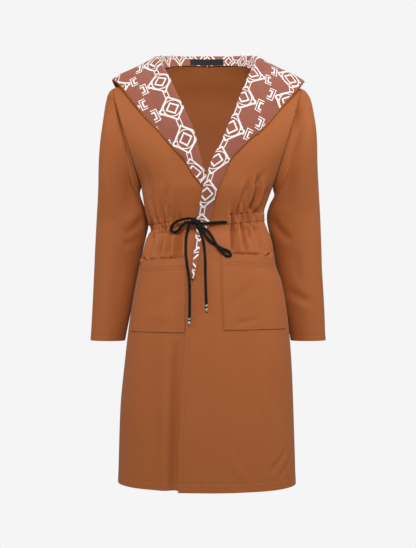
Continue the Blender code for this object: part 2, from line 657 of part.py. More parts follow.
def lapel_section(side, row):
    """Points of a lapel, from the neck seam on the panel over the roll to the outer edge."""
    seam_z = row.roll_z - row.seam_drop
    seam_x = side * (edge_out(side, seam_z) - ROLL_GAP)
    points = [(seam_x, front_y(side, seam_x, seam_z), seam_z)]
    turned = min(ROLL_WIDTH / (row.edge_x - row.roll_x), ROLL_SHARE)
    for share in (0.0, turned, *(turned + (1 - turned) * s for s in FLAP_SHARES)):
        ahead = row.over_ahead * (1 - share) + row.edge_ahead * share
        ahead += row.puff * math.sin(math.pi * share)
        if share == 0.0:
            ahead = row.roll_ahead
        x = side * (row.roll_x * (1 - share) + row.edge_x * share)
        z = row.roll_z * (1 - share) + row.edge_z * share
        base = front_y(side, x, z) if z < float(shoulder_z(x)) else 0.0
        points.append((x, base - ahead, z))
    return points


def hood_sections(side):
    back = [[(side * x, y, z) for x, y, z in section] for section in HOOD_BACK]
    for section in back:
        x = section[0][0]
        z = float(column(BACK_NECK, "z", abs(x)))
        section[0] = (x, surface_y(x, z, BACK), z + NECK_SEAM_GAP)
    tip = [(side * x, y, z) for x, y, z in SHOULDER_TIP[side]]
    return np.array([*back, tip, *(lapel_section(side, row) for row in LAPELS[side])])


def hood_surface(side, rounds, overs):
    """Middle surface of the hood and lapel. rounds counts sections from the middle back, and overs
    counts each section's points from the neck seam, both with fractions between them."""
    sections = hood_sections(side)
    spots = np.arange(len(sections))
    swept = np.stack([round_curve(spots, sections[:, k], rounds) for k in range(POINTS)], axis=1)
    rows = []
    for profile in swept:
        span = np.sqrt(np.linalg.norm(np.diff(profile, axis=0), axis=1))
        knots = np.concatenate([[0.0], np.cumsum(span)])
        rows.append(round_curve(knots, profile, np.interp(overs, np.arange(POINTS), knots)))
    grid = np.array(rows)
    return grid[::-1] if side == LEFT else grid


def hood_rounds(side):
    """Two steps to a section behind the shoulder and beside the neck, and one down the lapel."""
    dense = len(HOOD_BACK) + 2
    last = len(HOOD_BACK) + len(LAPELS[side])
    return [*np.arange(0, dense, 0.5), *range(dense, last + 1)]


def make_hood():
    between = (CLOTH + LAYER_GAP) / 2
    for side, name in ((LEFT, "left"), (RIGHT, "right")):
        grid = hood_surface(side, hood_rounds(side), HOOD_OVERS)
        middle = -1 if side == LEFT else 0
        grid[middle, :, 0] = side * SEAM_GAP / 2
        add_wall("hood_" + name, grid, "shell", shift=-between)
        add_wall("lining_" + name, grid, "print", shift=between)


def pocket_grid(side, columns, rows):
    """Patch laid on the front panel's own points and moved out, gaping a little at the mouth."""
    row = POCKETS[side]
    grid = np.empty((rows, columns, 3))
    for i in range(rows):
        down = i / (rows - 1)
        for k in range(columns):
            out = k / (columns - 1)
            top = row.top_in * (1 - out) + row.top_out * out
            z = top * (1 - down) + row.bottom * down
            inner = row.in_top * (1 - down) + row.in_bottom * down
            wide = float(half_width(z, side))
            low, high = math.asin(inner / wide), math.asin(1 - row.side_margin / wide)
            x = side * wide * math.sin(low + (high - low) * out)
            grid[i, k] = (x, front_y(side, x, z), z)
    turn = normals(grid)
    turn *= -np.sign(turn[0, 0, 1])
    for i in range(rows):
        for k in range(columns):
            down, out = i / (rows - 1), k / (columns - 1)
            puff = POCKET_PUFF * math.sin(math.pi * out) * math.cos(math.pi / 2 * down)
            gape = MOUTH_GAPE * (1 - down) ** 4 * math.sin(math.pi * out ** 2)
            grid[i, k] += turn[i, k] * (CLOTH + POCKET_GAP + puff + gape)
    return grid


def make_pockets():
    for side, name in ((LEFT, "pocket_left"), (RIGHT, "pocket_right")):
        add_wall(name, pocket_grid(side, *POCKET_GRID), "shell")


def make_label():
    """Strip on the inner face of the hood's stand at the middle back."""
    wide, high = FLAT_LABEL
    reach = wide / 2 / HOOD_BACK[1][0][0]
    rounds = np.linspace(0, reach, LABEL_COLUMNS)
    low, top = HOOD_BACK[0][0][2], HOOD_BACK[0][1][2]
    overs = [(LABEL_FOOT_Z - low) / (top - low), (LABEL_FOOT_Z + high - low) / (top - low)]
    left = hood_surface(LEFT, rounds, overs)
    right = hood_surface(RIGHT, rounds, overs)
    grid = np.concatenate([left[:-1], right])
    lift = CLOTH * 1.5 + LAYER_GAP * 1.5 + LABEL_CLOTH / 2
    add_wall("label", grid, "label", shift=lift, thick=LABEL_CLOTH)


def before_coat(x, z, ahead):
    return (x, surface_y(x, z, FRONT) - ahead - CORD_LIFT, z)


def cord_points(route):
    """Points about one step apart along a smooth curve through a route."""
    spots = np.array([before_coat(*row) for row in route])
    knots = np.concatenate([[0.0], np.cumsum(np.linalg.norm(np.diff(spots, axis=0), axis=1))])
    count = max(3, int(round(knots[-1] / CORD_STEP)) + 1)
    return round_curve(knots, spots, np.linspace(0, knots[-1], count))


def add_cord(name, route):
    points = cord_points(route)
    curve = bpy.data.curves.new(name, "CURVE")
    curve.dimensions = "3D"
    spline = curve.splines.new("POLY")
    spline.points.add(len(points) - 1)
    for spot, place in zip(spline.points, points):
        spot.co = (*place, 1.0)
    curve.bevel_depth = CORD / 2
    curve.bevel_resolution = 2
    curve.use_fill_caps = True
    curve.materials.append(material("cord"))
    piece = bpy.data.objects.new(name, curve)
    bpy.context.collection.objects.link(piece)
    return points


def add_rings(name, rings, finish):
    """Closed solid through rings of points, with a flat face at each end."""
    sides = len(rings[0])
    points = [p for ring in rings for p in ring]
    faces = [tuple(range(sides))]
    for r in range(len(rings) - 1):
        for k in range(sides):
            a, b = r * sides + k, r * sides + (k + 1) % sides
            faces.append((a, b, b + sides, a + sides))
    faces.append(tuple(len(points) - sides + k for k in range(sides)))
    return add_object(name, points, faces, finish)


def ring_about(centre, way, wide, deep, sides):
    """Oval ring about a line that runs across the front. deep is measured front to back."""
    way = np.array(way) / np.linalg.norm(way)
    ahead = np.array([0.0, -1.0, 0.0])
    across = np.cross(way, ahead)
    across /= np.linalg.norm(across)
    turns = [2 * math.pi * k / sides for k in range(sides)]
    return [np.array(centre) + across * wide * math.cos(t) + ahead * deep * math.sin(t) for t in turns]


def make_drawcord():
    ends = {}
    for name, route in CORDS.items():
        ends[name] = add_cord(name, route)
    rings = []
    middle = np.array([before_coat(row.x, row.z, row.ahead) for row in KNOT])
    ways = np.gradient(middle, axis=0)
    for row, centre, way in zip(KNOT, middle, ways):
        rings.append(ring_about(centre, way * (1, 0, 1), row.wide, row.deep, ROUND_SIDES))
    add_rings("cord_knot", rings, "cord")
    for name, cord in (("tip_left", "cord_end_left"), ("tip_right", "cord_end_right")):
        last, before = ends[cord][-1], ends[cord][-2]
        way = (last - before) / np.linalg.norm(last - before)
        start = last + way * LAYER_GAP
        rings = [ring_about(start + way * row.along, way, row.radius, row.radius, ROUND_SIDES) for row in TIP]
        add_rings(name, rings, "metal")


def remove_everything():
    for piece in list(bpy.data.objects):
        bpy.data.objects.remove(piece, do_unlink=True)


def main():
    remove_everything()
    make_back()
    make_fronts()
    make_sleeves()
    make_hood()
    make_pockets()
    make_label()
    make_drawcord()


main()
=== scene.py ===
# Looks of the hooded coat, in the frame of its solids: metres, +Z up, the front faces -Y, +X is the
# viewer's right. Each cloth piece is a fine grid on its solid's own tables, with creases laid one by one.
import math
from collections import namedtuple

import bpy
import numpy as np
from mathutils import Matrix, Vector


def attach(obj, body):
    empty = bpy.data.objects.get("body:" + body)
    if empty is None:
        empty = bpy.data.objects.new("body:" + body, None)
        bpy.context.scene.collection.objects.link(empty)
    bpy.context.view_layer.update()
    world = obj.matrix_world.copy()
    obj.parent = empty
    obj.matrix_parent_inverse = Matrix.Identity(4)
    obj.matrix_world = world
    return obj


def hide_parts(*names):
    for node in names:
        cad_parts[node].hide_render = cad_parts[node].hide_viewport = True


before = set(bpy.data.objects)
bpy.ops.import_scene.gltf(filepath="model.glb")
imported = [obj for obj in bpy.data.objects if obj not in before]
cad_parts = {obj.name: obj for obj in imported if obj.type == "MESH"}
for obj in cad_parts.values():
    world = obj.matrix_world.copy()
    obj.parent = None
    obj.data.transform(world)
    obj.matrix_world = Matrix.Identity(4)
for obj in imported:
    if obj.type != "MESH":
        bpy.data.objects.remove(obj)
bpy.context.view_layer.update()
bpy.ops.object.select_all(action="DESELECT")

# Driving sizes
CLOTH = 0.0012
LAYER_GAP = 0.0003
SEAM_GAP = 0.0007
# The hood's seam edge stands this far above the back neckline
NECK_SEAM_GAP = 0.0028
HEM_Z = {-1: -0.977, 1: -0.981}
PIT_Z = -0.272
PIT_X = 0.157
SHOULDER_X = 0.226
SHOULDER_Z = -0.034
NECK_X = 0.107
WAIST_Z = -0.36
# The waist channel rises by this much from the middle front to the right side seam
WAIST_RISE = 0.016
# How far below the shoulder line the front and the back reach their full depth
TURN = {-1: 0.20, 1: 0.14}
SQUARENESS = 2.3
ROLL_INSET = 0.0045
ROLL_GAP = 0.0016
LEFT, RIGHT = -1, 1
FRONT, BACK = -1, 1

# Half width to each side and depth to the front and back of the side seams, at each height
Level = namedtuple("Level", "z left right front back")
LEVELS = (
    Level(0.100, 0.360, 0.360, 0.080, 0.082),
    Level(0.000, 0.315, 0.315, 0.090, 0.088),
    Level(-0.040, 0.295, 0.295, 0.096, 0.094),
    Level(-0.100, 0.262, 0.262, 0.106, 0.099),
    Level(-0.160, 0.225, 0.225, 0.117, 0.103),
    Level(-0.220, 0.186, 0.186, 0.124, 0.103),
    Level(PIT_Z, PIT_X, PIT_X, 0.123, 0.100),
    Level(-0.300, 0.1525, 0.1440, 0.117, 0.096),
    Level(-0.335, 0.1460, 0.1325, 0.106, 0.089),
    Level(-0.355, 0.1390, 0.1350, 0.101, 0.086),
    Level(-0.374, 0.1320, 0.1430, 0.100, 0.086),
    Level(-0.400, 0.1425, 0.1545, 0.110, 0.097),
    Level(-0.430, 0.1530, 0.1600, 0.118, 0.107),
    Level(-0.460, 0.1615, 0.1650, 0.124, 0.115),
    Level(-0.500, 0.1700, 0.1790, 0.128, 0.122),
    Level(-0.600, 0.1865, 0.1950, 0.134, 0.130),
    Level(-0.700, 0.1980, 0.2030, 0.138, 0.134),
    Level(-0.800, 0.2075, 0.2070, 0.140, 0.136),
    Level(-0.981, 0.2130, 0.2125, 0.142, 0.138),
)

# Height of the shoulder line and of the cut back neck, out from the middle
Shoulder = namedtuple("Shoulder", "x z")
SHOULDER_LINE = (
    Shoulder(0.000, 0.085),
    Shoulder(0.050, 0.064),
    Shoulder(0.080, 0.045),
    Shoulder(NECK_X, 0.0135),
    Shoulder(0.160, -0.009),
    Shoulder(SHOULDER_X, SHOULDER_Z),
    Shoulder(0.300, -0.062),
)
BACK_NECK = (
    Shoulder(0.000, 0.030),
    Shoulder(0.050, 0.029),
    Shoulder(0.080, 0.0255),
    Shoulder(NECK_X, 0.0125),
)

# Roll line of each lapel and, below it, the front edge. out is away from the middle on the panel's side
Edge = namedtuple("Edge", "z out")
FRONT_EDGE = {
    LEFT: (
        Edge(0.014, 0.1040),
        Edge(-0.050, 0.0750),
        Edge(-0.109, 0.0475),
        Edge(-0.150, 0.0310),
        Edge(-0.217, 0.0140),
        Edge(-0.258, 0.0000),
        Edge(-0.280, -0.0060),
        Edge(-0.310, -0.0130),
        Edge(-0.370, -0.0240),
        Edge(-0.500, -0.0370),
        Edge(-0.620, -0.0500),
        Edge(-0.981, -0.0610),
    ),
    RIGHT: (
        Edge(0.016, 0.1090),
        Edge(-0.070, 0.0760),
        Edge(-0.157, 0.0415),
        Edge(-0.217, 0.0127),
        Edge(-0.247, 0.0023),
        Edge(-0.277, -0.0069),
        Edge(-0.302, -0.0115),
        Edge(-0.334, -0.0196),
        Edge(-0.369, -0.0230),
        Edge(-0.466, -0.0325),
        Edge(-0.500, -0.0372),
        Edge(-0.617, -0.0490),
        Edge(-0.906, -0.0650),
        Edge(-0.981, -0.0663),
    ),
}
ROLL_END_Z = {LEFT: -0.31, RIGHT: -0.52}

# How far the left front sinks under the right one, at the hem and above the waist, and where that
# begins: out from the middle, across the waist and at the top
LAP_DEPTH = (0.0045, 0.0085)
LAP_X = (-0.100, -0.050)
LAP_WAIST_Z = (-0.42, -0.32)
LAP_TOP_Z = (-0.10, -0.20)

# Gathers at the waist channel: angle round from the middle front, how deep the trough is, and how far
# it runs above and below the waist
Gather = namedtuple("Gather", "angle depth above below")
GATHERS = {
    (LEFT, FRONT): (
        Gather(27.0, 0.0048, 0.030, 0.075),
        Gather(36.0, 0.0048, 0.045, 0.060),
        Gather(47.0, 0.0064, 0.050, 0.080),
        Gather(58.0, 0.0040, 0.030, 0.045),
        Gather(70.0, 0.0048, 0.035, 0.050),
    ),
    (RIGHT, FRONT): (
        Gather(27.0, 0.0056, 0.035, 0.110),
        Gather(34.0, 0.0048, 0.050, 0.055),
        Gather(41.0, 0.0048, 0.055, 0.045),
        Gather(47.5, 0.0064, 0.040, 0.075),
        Gather(54.5, 0.0064, 0.060, 0.050),
        Gather(62.0, 0.0056, 0.035, 0.060),
        Gather(70.0, 0.0048, 0.045, 0.045),
    ),
    (LEFT, BACK): (
        Gather(12.0, 0.0056, 0.045, 0.070),
        Gather(24.0, 0.0048, 0.035, 0.055),
        Gather(36.0, 0.0064, 0.055, 0.080),
        Gather(49.0, 0.0048, 0.040, 0.050),
        Gather(62.0, 0.0056, 0.045, 0.065),
    ),
    (RIGHT, BACK): (
        Gather(9.0, 0.0048, 0.040, 0.055),
        Gather(21.0, 0.0064, 0.055, 0.075),
        Gather(34.0, 0.0048, 0.040, 0.050),
        Gather(46.0, 0.0056, 0.050, 0.070),
        Gather(60.0, 0.0048, 0.035, 0.055),
    ),
}

# Ridge between two gathers as a share of their depth, and the reach of the first and last, in degrees
RIDGE = 0.35
GATHER_REACH = 12.0
# Rows of points down a panel: how many reach the underarm and how they crowd towards the shoulder, then
# bands of heights below it with their steps, then the skirt, and the hem with a step of its own
SHOULDER_ROWS, SHOULDER_CROWD = 50, 1.15
ROW_BANDS = ((PIT_Z - 0.004, -0.333, 0.0035), (-0.334, -0.386, 0.0016), (-0.388, -0.466, 0.0026))
SKIRT_FROM, SKIRT_ROWS = -0.470, 72
HEM_BAND, HEM_STEP = 0.030, 0.0015
# A row that follows the shoulder line is placed again this many times, until it lies still
ROW_PASSES = 9
# Columns across a front, close together in a strip beside its edge, and across each half of the back
FRONT_WIDE, EDGE_STRIP = 0.27, 0.0135
EDGE_COLUMNS, FRONT_COLUMNS, BACK_COLUMNS = 10, 158, 86

# Sleeve sections: outer and inner point seen from the front, half depth, how far back the middle
# lies, and how far the section has turned from the armhole's own shape into a smooth round
Ring = namedtuple("Ring", "out_x out_z in_x in_z half_depth middle_y smooth")
SLEEVES = {
    LEFT: (
        Ring(SHOULDER_X, SHOULDER_Z, PIT_X, PIT_Z, 0.066, 0.000, 0.0),
        Ring(0.2365, -0.0470, 0.1590, -0.2790, 0.067, 0.001, 0.25),
        Ring(0.2445, -0.0760, 0.1600, -0.2860, 0.067, 0.004, 0.6),
        Ring(0.2510, -0.1250, 0.1580, -0.2950, 0.066, 0.010, 0.9),
        Ring(0.2590, -0.2270, 0.1520, -0.3130, 0.063, 0.026, 1.0),
        Ring(0.2675, -0.3300, 0.1400, -0.3470, 0.059, 0.040, 1.0),
        Ring(0.2720, -0.4100, 0.1530, -0.4130, 0.055, 0.042, 1.0),
        Ring(0.2745, -0.4700, 0.1650, -0.4710, 0.051, 0.041, 1.0),
        Ring(0.2780, -0.5500, 0.1800, -0.5500, 0.046, 0.038, 1.0),
        Ring(0.2825, -0.6410, 0.1986, -0.6410, 0.041, 0.034, 1.0),
    ),
    RIGHT: (
        Ring(SHOULDER_X, SHOULDER_Z, PIT_X, PIT_Z, 0.066, 0.000, 0.0),
        Ring(0.2390, -0.0440, 0.1585, -0.2790, 0.067, 0.001, 0.25),
        Ring(0.2510, -0.0680, 0.1605, -0.2860, 0.067, 0.003, 0.6),
        Ring(0.2580, -0.1250, 0.1590, -0.2950, 0.066, 0.006, 0.9),
        Ring(0.2670, -0.2270, 0.1500, -0.3130, 0.063, 0.022, 1.0),
        Ring(0.2745, -0.3300, 0.1445, -0.3470, 0.059, 0.036, 1.0),
        Ring(0.2780, -0.4100, 0.1580, -0.4130, 0.055, 0.040, 1.0),
        Ring(0.2800, -0.4700, 0.1690, -0.4710, 0.051, 0.041, 1.0),
        Ring(0.2845, -0.5500, 0.1850, -0.5500, 0.046, 0.038, 1.0),
        Ring(0.2880, -0.6410, 0.2030, -0.6410, 0.041, 0.036, 1.0),
    ),
}
# Points round a sleeve, and rings down to its cuff and over the cuff, which is this last part of the
# way between two sections
SLEEVE_ROUND, SLEEVE_RINGS, CUFF_RINGS, CUFF_SHARE = 92, 118, 20, 0.25
# How sharply the folds of a sleeve's front end at its sides, where those of its back begin
SIDE_BLEND = 2.5
# The armhole seam is open by this much more under the arm, where the cloth turns back on itself
PIT_GAP = 0.0016

# Hood sections behind the shoulders, from the middle back to the shoulder tip. Each runs from the neck
# seam over the roll, down inside the pouch, round its bottom and up to the face edge
Section = namedtuple("Section", "seam roll over inner low_in low_out outer edge")
HOOD_BACK = (
    Section(
        (0.0000, 0.0690, 0.0310), (0.0000, 0.0880, 0.0605), (0.0000, 0.1010, 0.0500),
        (0.0000, 0.1140, -0.0400), (0.0000, 0.1300, -0.1950), (0.0000, 0.1580, -0.1920),
        (0.0000, 0.1720, -0.1150), (0.0000, 0.1600, -0.0220),
    ),
    Section(
        (0.0500, 0.0585, 0.0300), (0.0530, 0.0830, 0.0595), (0.0580, 0.0950, 0.0490),
        (0.0700, 0.1080, -0.0340), (0.0760, 0.1260, -0.1720), (0.0800, 0.1520, -0.1700),
        (0.0840, 0.1640, -0.1050), (0.0820, 0.1500, -0.0330),
    ),
    Section(
        (0.0880, 0.0370, 0.0255), (0.0990, 0.0610, 0.0570), (0.1080, 0.0710, 0.0460),
        (0.1270, 0.0890, -0.0140), (0.1430, 0.1060, -0.0950), (0.1580, 0.1240, -0.0980),
        (0.1670, 0.1345, -0.0740), (0.1690, 0.1310, -0.0470),
    ),
    Section(
        (0.1040, 0.0150, 0.0185), (0.1195, 0.0340, 0.0500), (0.1300, 0.0420, 0.0400),
        (0.1530, 0.0540, 0.0080), (0.1750, 0.0670, -0.0200), (0.1920, 0.0780, -0.0330),
        (0.2040, 0.0820, -0.0370), (0.2130, 0.0780, -0.0340),
    ),
)
SHOULDER_TIP = {
    LEFT: Section(
        (0.1070, 0.0000, 0.0150), (0.1205, 0.0090, 0.0450), (0.1300, 0.0100, 0.0400),
        (0.1500, 0.0080, 0.0300), (0.1720, 0.0050, 0.0180), (0.1920, 0.0030, 0.0080),
        (0.2110, 0.0010, -0.0010), (0.2280, 0.0000, -0.0120),
    ),
    RIGHT: Section(
        (0.1070, 0.0000, 0.0150), (0.1235, 0.0090, 0.0450), (0.1330, 0.0100, 0.0395),
        (0.1530, 0.0080, 0.0280), (0.1760, 0.0050, 0.0150), (0.1970, 0.0030, 0.0050),
        (0.2160, 0.0010, -0.0050), (0.2340, 0.0000, -0.0165),
    ),
}
# Lapel sections, seen from the front: the roll and the outer edge, how far the neck seam lies below the
# roll, and how far the roll, the flap beside it and the edge stand before the coat
Lapel = namedtuple(
    "Lapel", "roll_x roll_z roll_ahead seam_drop over_ahead puff edge_x edge_z edge_ahead")
LAPELS = {
    LEFT: (
        Lapel(0.1040, 0.0140, 0.0140, 0.0060, 0.0240, 0.0040, 0.2070, -0.0310, 0.0200),
        Lapel(0.0900, -0.0160, 0.0065, 0.0050, 0.0110, 0.0040, 0.1840, -0.0615, 0.0130),
        Lapel(0.0755, -0.0490, 0.0045, 0.0045, 0.0090, 0.0030, 0.1647, -0.0870, 0.0095),
        Lapel(0.0620, -0.0780, 0.0040, 0.0040, 0.0080, 0.0030, 0.1453, -0.1118, 0.0080),
        Lapel(0.0435, -0.1180, 0.0037, 0.0037, 0.0075, 0.0030, 0.1094, -0.1513, 0.0065),
        Lapel(0.0270, -0.1620, 0.0035, 0.0035, 0.0070, 0.0020, 0.0800, -0.1860, 0.0060),
        Lapel(0.0140, -0.2170, 0.0030, 0.0030, 0.0060, 0.0020, 0.0518, -0.2170, 0.0055),
        Lapel(0.0025, -0.2510, 0.0025, 0.0025, 0.0050, 0.0010, 0.0345, -0.2460, 0.0048),
        Lapel(-0.0050, -0.2770, 0.0024, 0.0024, 0.0048, 0.0000, 0.0103, -0.2780, 0.0046),
        Lapel(-0.0105, -0.2980, 0.0024, 0.0024, 0.0048, 0.0000, 0.0000, -0.2985, 0.0046),
    ),
    RIGHT: (
        Lapel(0.1090, 0.0140, 0.0140, 0.0060, 0.0240, 0.0040, 0.2150, -0.0400, 0.0200),
        Lapel(0.0940, -0.0230, 0.0065, 0.0050, 0.0110, 0.0040, 0.1967, -0.0625, 0.0140),
        Lapel(0.0790, -0.0620, 0.0045, 0.0045, 0.0090, 0.0030, 0.1620, -0.1040, 0.0090),
        Lapel(0.0620, -0.1060, 0.0040, 0.0040, 0.0080, 0.0030, 0.1283, -0.1435, 0.0075),
        Lapel(0.0415, -0.1570, 0.0037, 0.0037, 0.0075, 0.0030, 0.0928, -0.1733, 0.0065),
        Lapel(0.0150, -0.2120, 0.0032, 0.0032, 0.0065, 0.0020, 0.0560, -0.2140, 0.0060),
        Lapel(0.0023, -0.2470, 0.0030, 0.0030, 0.0060, 0.0020, 0.0415, -0.2470, 0.0055),
        Lapel(-0.0069, -0.2770, 0.0027, 0.0027, 0.0055, 0.0020, 0.0277, -0.2770, 0.0055),
        Lapel(-0.0115, -0.3020, 0.0025, 0.0025, 0.0050, 0.0010, 0.0205, -0.3020, 0.0050),
        Lapel(-0.0196, -0.3340, 0.0024, 0.0024, 0.0048, 0.0010, 0.0140, -0.3340, 0.0046),
        Lapel(-0.0227, -0.3650, 0.0025, 0.0025, 0.0050, 0.0000, 0.0060, -0.3640, 0.0048),
        Lapel(-0.0255, -0.3930, 0.0027, 0.0026, 0.0054, 0.0000, -0.0095, -0.3930, 0.0050),
        Lapel(-0.0291, -0.4300, 0.0026, 0.0026, 0.0053, 0.0000, -0.0165, -0.4300, 0.0050),
        Lapel(-0.0325, -0.4660, 0.0024, 0.0024, 0.0048, 0.0000, -0.0235, -0.4660, 0.0047),
        Lapel(-0.0360, -0.4900, 0.0024, 0.0024, 0.0048, 0.0000, -0.0285, -0.4900, 0.0046),
    ),
}
# Points of a section, and bands of the hood's grid over them, as start, end and count. Round the hood,
# from the middle back, the grid has so many steps to FINE_ROUND, in sections, and so many to the end
POINTS = len(Section._fields)
HOOD_OVERS = ((0, 2, 25), (2, 4, 25), (4, POINTS - 1, 37))
FINE_ROUND, FINE_STEPS, LAPEL_STEPS = 6, 97, 96
# Columns of that grid along which the face edge's waves and the print are measured
WAVE_COLUMN, PRINT_COLUMN = 40, 46
# Where on a section the hood's folds come in and die away, in points from the neck seam
OUTER_FOLDS, INNER_FOLDS, INNER_FOLDS_END = (4.6, 5.6), (2.2, 3.0), (4.6, 3.8)
STAND_FOLDS, STAND_FOLDS_END = (0.2, 1.0), (3.2, 2.2)
EDGE_WAVES = (5.4, 7.0)
# The flap turns over within this width, or this share of a narrow flap, and its other points lie at
# these shares of the rest
ROLL_WIDTH = 0.0030
ROLL_SHARE = 0.3
FLAP_SHARES = (0.22, 0.43, 0.62, 0.81, 1.0)

# Patch pockets: top edge height at the inner and outer end, bottom height, inner edge at top and bottom
Pocket = namedtuple("Pocket", "top_in top_out bottom in_top in_bottom side_margin")
POCKETS = {
    LEFT: Pocket(-0.4440, -0.4520, -0.6140, 0.0480, 0.0520, 0.012),
    RIGHT: Pocket(-0.4370, -0.4400, -0.6080, 0.0325, 0.0395, 0.012),
}
POCKET_PUFF = 0.0035
MOUTH_GAPE = 0.0045
POCKET_GAP = 0.0007
POCKET_COLUMNS, POCKET_ROWS, MOUTH_CROWD = 64, 66, 1.25
# How fast the mouth's gape dies away down the pocket, and its shape across it
GAPE_FALL, GAPE_LEAN, GAPE_ROUND = 5, 1.4, 0.6

FLAT_LABEL = (0.080, 0.0140)
LABEL_CLOTH = 0.0008
LABEL_COLUMNS, LABEL_ROWS = 26, 14
LABEL_FOOT_Z = 0.0320

# Drawcord: each route is seen from the front, with how far its middle stands before the coat
CORD = 0.0056
# Step of the lines of the solids, whose last step gives a tip its direction
CORD_STEP = 1.8 * CORD
# The cord is thicker than its routes were laid for, so it stands this much further ahead
CORD_LIFT = 0.0006
# The soft braid is a little fuller than its solid
CORD_FULL = 1.12
CORDS = {
    "cord_loop_left": (
        (-0.0500, -0.3525, 0.0110), (-0.0610, -0.3545, 0.0100), (-0.0728, -0.3600, 0.0080),
        (-0.0820, -0.3690, 0.0065), (-0.0835, -0.3775, 0.0060), (-0.0770, -0.3825, 0.0060),
        (-0.0690, -0.3800, 0.0065), (-0.0600, -0.3710, 0.0080), (-0.0500, -0.3600, 0.0110),
    ),
    "cord_loop_right": (
        (0.0010, -0.3790, 0.0125), (0.0093, -0.3900, 0.0110), (0.0180, -0.4060, 0.0105),
        (0.0250, -0.4170, 0.0105), (0.0364, -0.4300, 0.0090), (0.0470, -0.4385, 0.0085),
        (0.0540, -0.4370, 0.0085), (0.0530, -0.4305, 0.0080), (0.0460, -0.4255, 0.0070),
        (0.0350, -0.4215, 0.0055), (0.0210, -0.4130, 0.0045), (0.0093, -0.4060, 0.0050),
        (0.0000, -0.3960, 0.0080), (-0.0070, -0.3840, 0.0115),
    ),
    "cord_strand": (
        (-0.0055, -0.3635, 0.0115), (0.0030, -0.3622, 0.0102), (0.0117, -0.3612, 0.0085),
        (0.0250, -0.3602, 0.0055), (0.0378, -0.3596, 0.0038), (0.0459, -0.3601, 0.0033),
    ),
    "cord_end_left": (
        (-0.0403, -0.3637, 0.0120), (-0.0445, -0.3762, 0.0110), (-0.0475, -0.3913, 0.0085),
        (-0.0486, -0.4148, 0.0060), (-0.0482, -0.4382, 0.0045), (-0.0459, -0.4559, 0.0040),
        (-0.0420, -0.4782, 0.0045), (-0.0400, -0.5049, 0.0050), (-0.0395, -0.5394, 0.0045),
        (-0.0401, -0.5807, 0.0042),
    ),
    "cord_end_right": (
        (-0.0185, -0.3750, 0.0125), (-0.0141, -0.3869, 0.0108), (-0.0082, -0.4055, 0.0085),
        (-0.0054, -0.4268, 0.0062), (-0.0040, -0.4498, 0.0045), (-0.0036, -0.4794, 0.0040),
        (-0.0026, -0.5163, 0.0040), (-0.0013, -0.5500, 0.0040),
    ),
}
# Middle line of the knot, and the cord's turns about it: at which point, raised by how much, leaning by
# how much, and with which radius
KNOT = (
    (-0.0410, -0.3562, 0.0118),
    (-0.0310, -0.3580, 0.0120),
    (-0.0210, -0.3625, 0.0132),
    (-0.0120, -0.3690, 0.0136),
)
KNOT_TURNS = ((1, 0.0, 0.3, 0.0064), (2, 0.0004, -0.25, 0.0062))
# Part of a whole turn that each makes, its points, and its size towards the coat against that across
TURN_CLOSED, TURN_POINTS, TURN_FLAT = 0.97, 34, 0.86

# Sizes of the looks alone
BACKDROP = 0.913
FLOOR_RADIUS = 9
FILL_SHADE = 0.93
FILL_LIGHT = 0.30
FLOOR_Z = -1.30
CAMERA_PLACE = (0.0024, -2.70, -0.48)
LENS, SENSOR = 73.6, 36
Light = namedtuple("Light", "name place aim size watts")
LIGHTS = (
    Light("front_softbox", (0.1, -2.2, 0.9), (0, 0, -0.12), (0.8, 0.8), 46),
    Light("side_left", (-2.3, -0.75, 1.1), (0, 0, -0.12), (0.8, 1.2), 30),
    Light("side_right", (2.3, -0.75, 1.1), (0, 0, -0.12), (0.8, 1.2), 36),
    Light("top_back", (0.2, 1.6, 1.8), (0, 0, -0.2), (1.4, 0.8), 12),
)
# Name of the map that gives each place on the flat cloth
MAP = "cloth"
# Faces that meet at more than this angle have a sharp edge, on cloth and on cord
CLOTH_SHARP, CORD_SHARP = 50, 60

# How far in from the edge each stitched line lies
HEM_DEEP = {LEFT: 0.0185, RIGHT: 0.0205}
FRONT_STITCH = 0.0100
CUFF_DEEP = 0.0125
POCKET_HEM = (0.0185, 0.0255)
POCKET_STITCH = 0.0022
# One stitch: its length from the next, its own length and thickness, and its sections along it
STITCH_STEP, STITCH_LONG, STITCH_THICK, STITCH_SIDES = 0.0036, 0.0026, 0.00030, 5
Stitch = namedtuple("Stitch", "along wide lift")
STITCH_SHAPE = (
    Stitch(-0.50, 0.25, -0.90),
    Stitch(-0.32, 0.85, 0.00),
    Stitch(0.00, 1.00, 0.35),
    Stitch(0.32, 0.85, 0.00),
    Stitch(0.50, 0.25, -0.90),
)
# Cloth about a stitched line: a groove, the turned-in cloth that stands out up to just past the line,
# and uneven puckers, which are smaller at the front edges and on the pockets
GROOVE, GROOVE_HALF = 0.00045, 0.0012
TURNED_IN, TURNED_FROM, TURNED_TO = 0.00035, -0.0008, 0.0012
PUCKER, PUCKER_AT, PUCKER_HALF = 0.00045, 0.0020, 0.0075
EDGE_PUCKER, MOUTH_PUCKER, POCKET_PUCKER = 0.0002, 0.0003, 0.00025
# Waves that make a line uneven: height, length and share of the seed. Each kind of line has its seed
WAVES = ((1.0, 0.0021, 1.0), (1.0, 0.0034, 2.3), (0.8, 0.0079, 0.7))
SEEDS = {"hem": 1.7, "edge": 0.4, "back": 4.1, "cuff": 2.2, "head": 3.1, "hood": 1.9, "pocket": 2.8,
         "mouth": 0.9}
# About the height where a lapel ends: where its inset eases off, where the plain edge's stitched line
# comes in, and how far below it the stitches begin
INSET_EASE = (-0.01, 0.02)
PLAIN_EASE = (0.02, -0.03)
STITCHES_BELOW = 0.02

# Creases seen from the front: where each starts, passes and ends, how far it goes in, and its half width
Crease = namedtuple("Crease", "start middle end depth width")
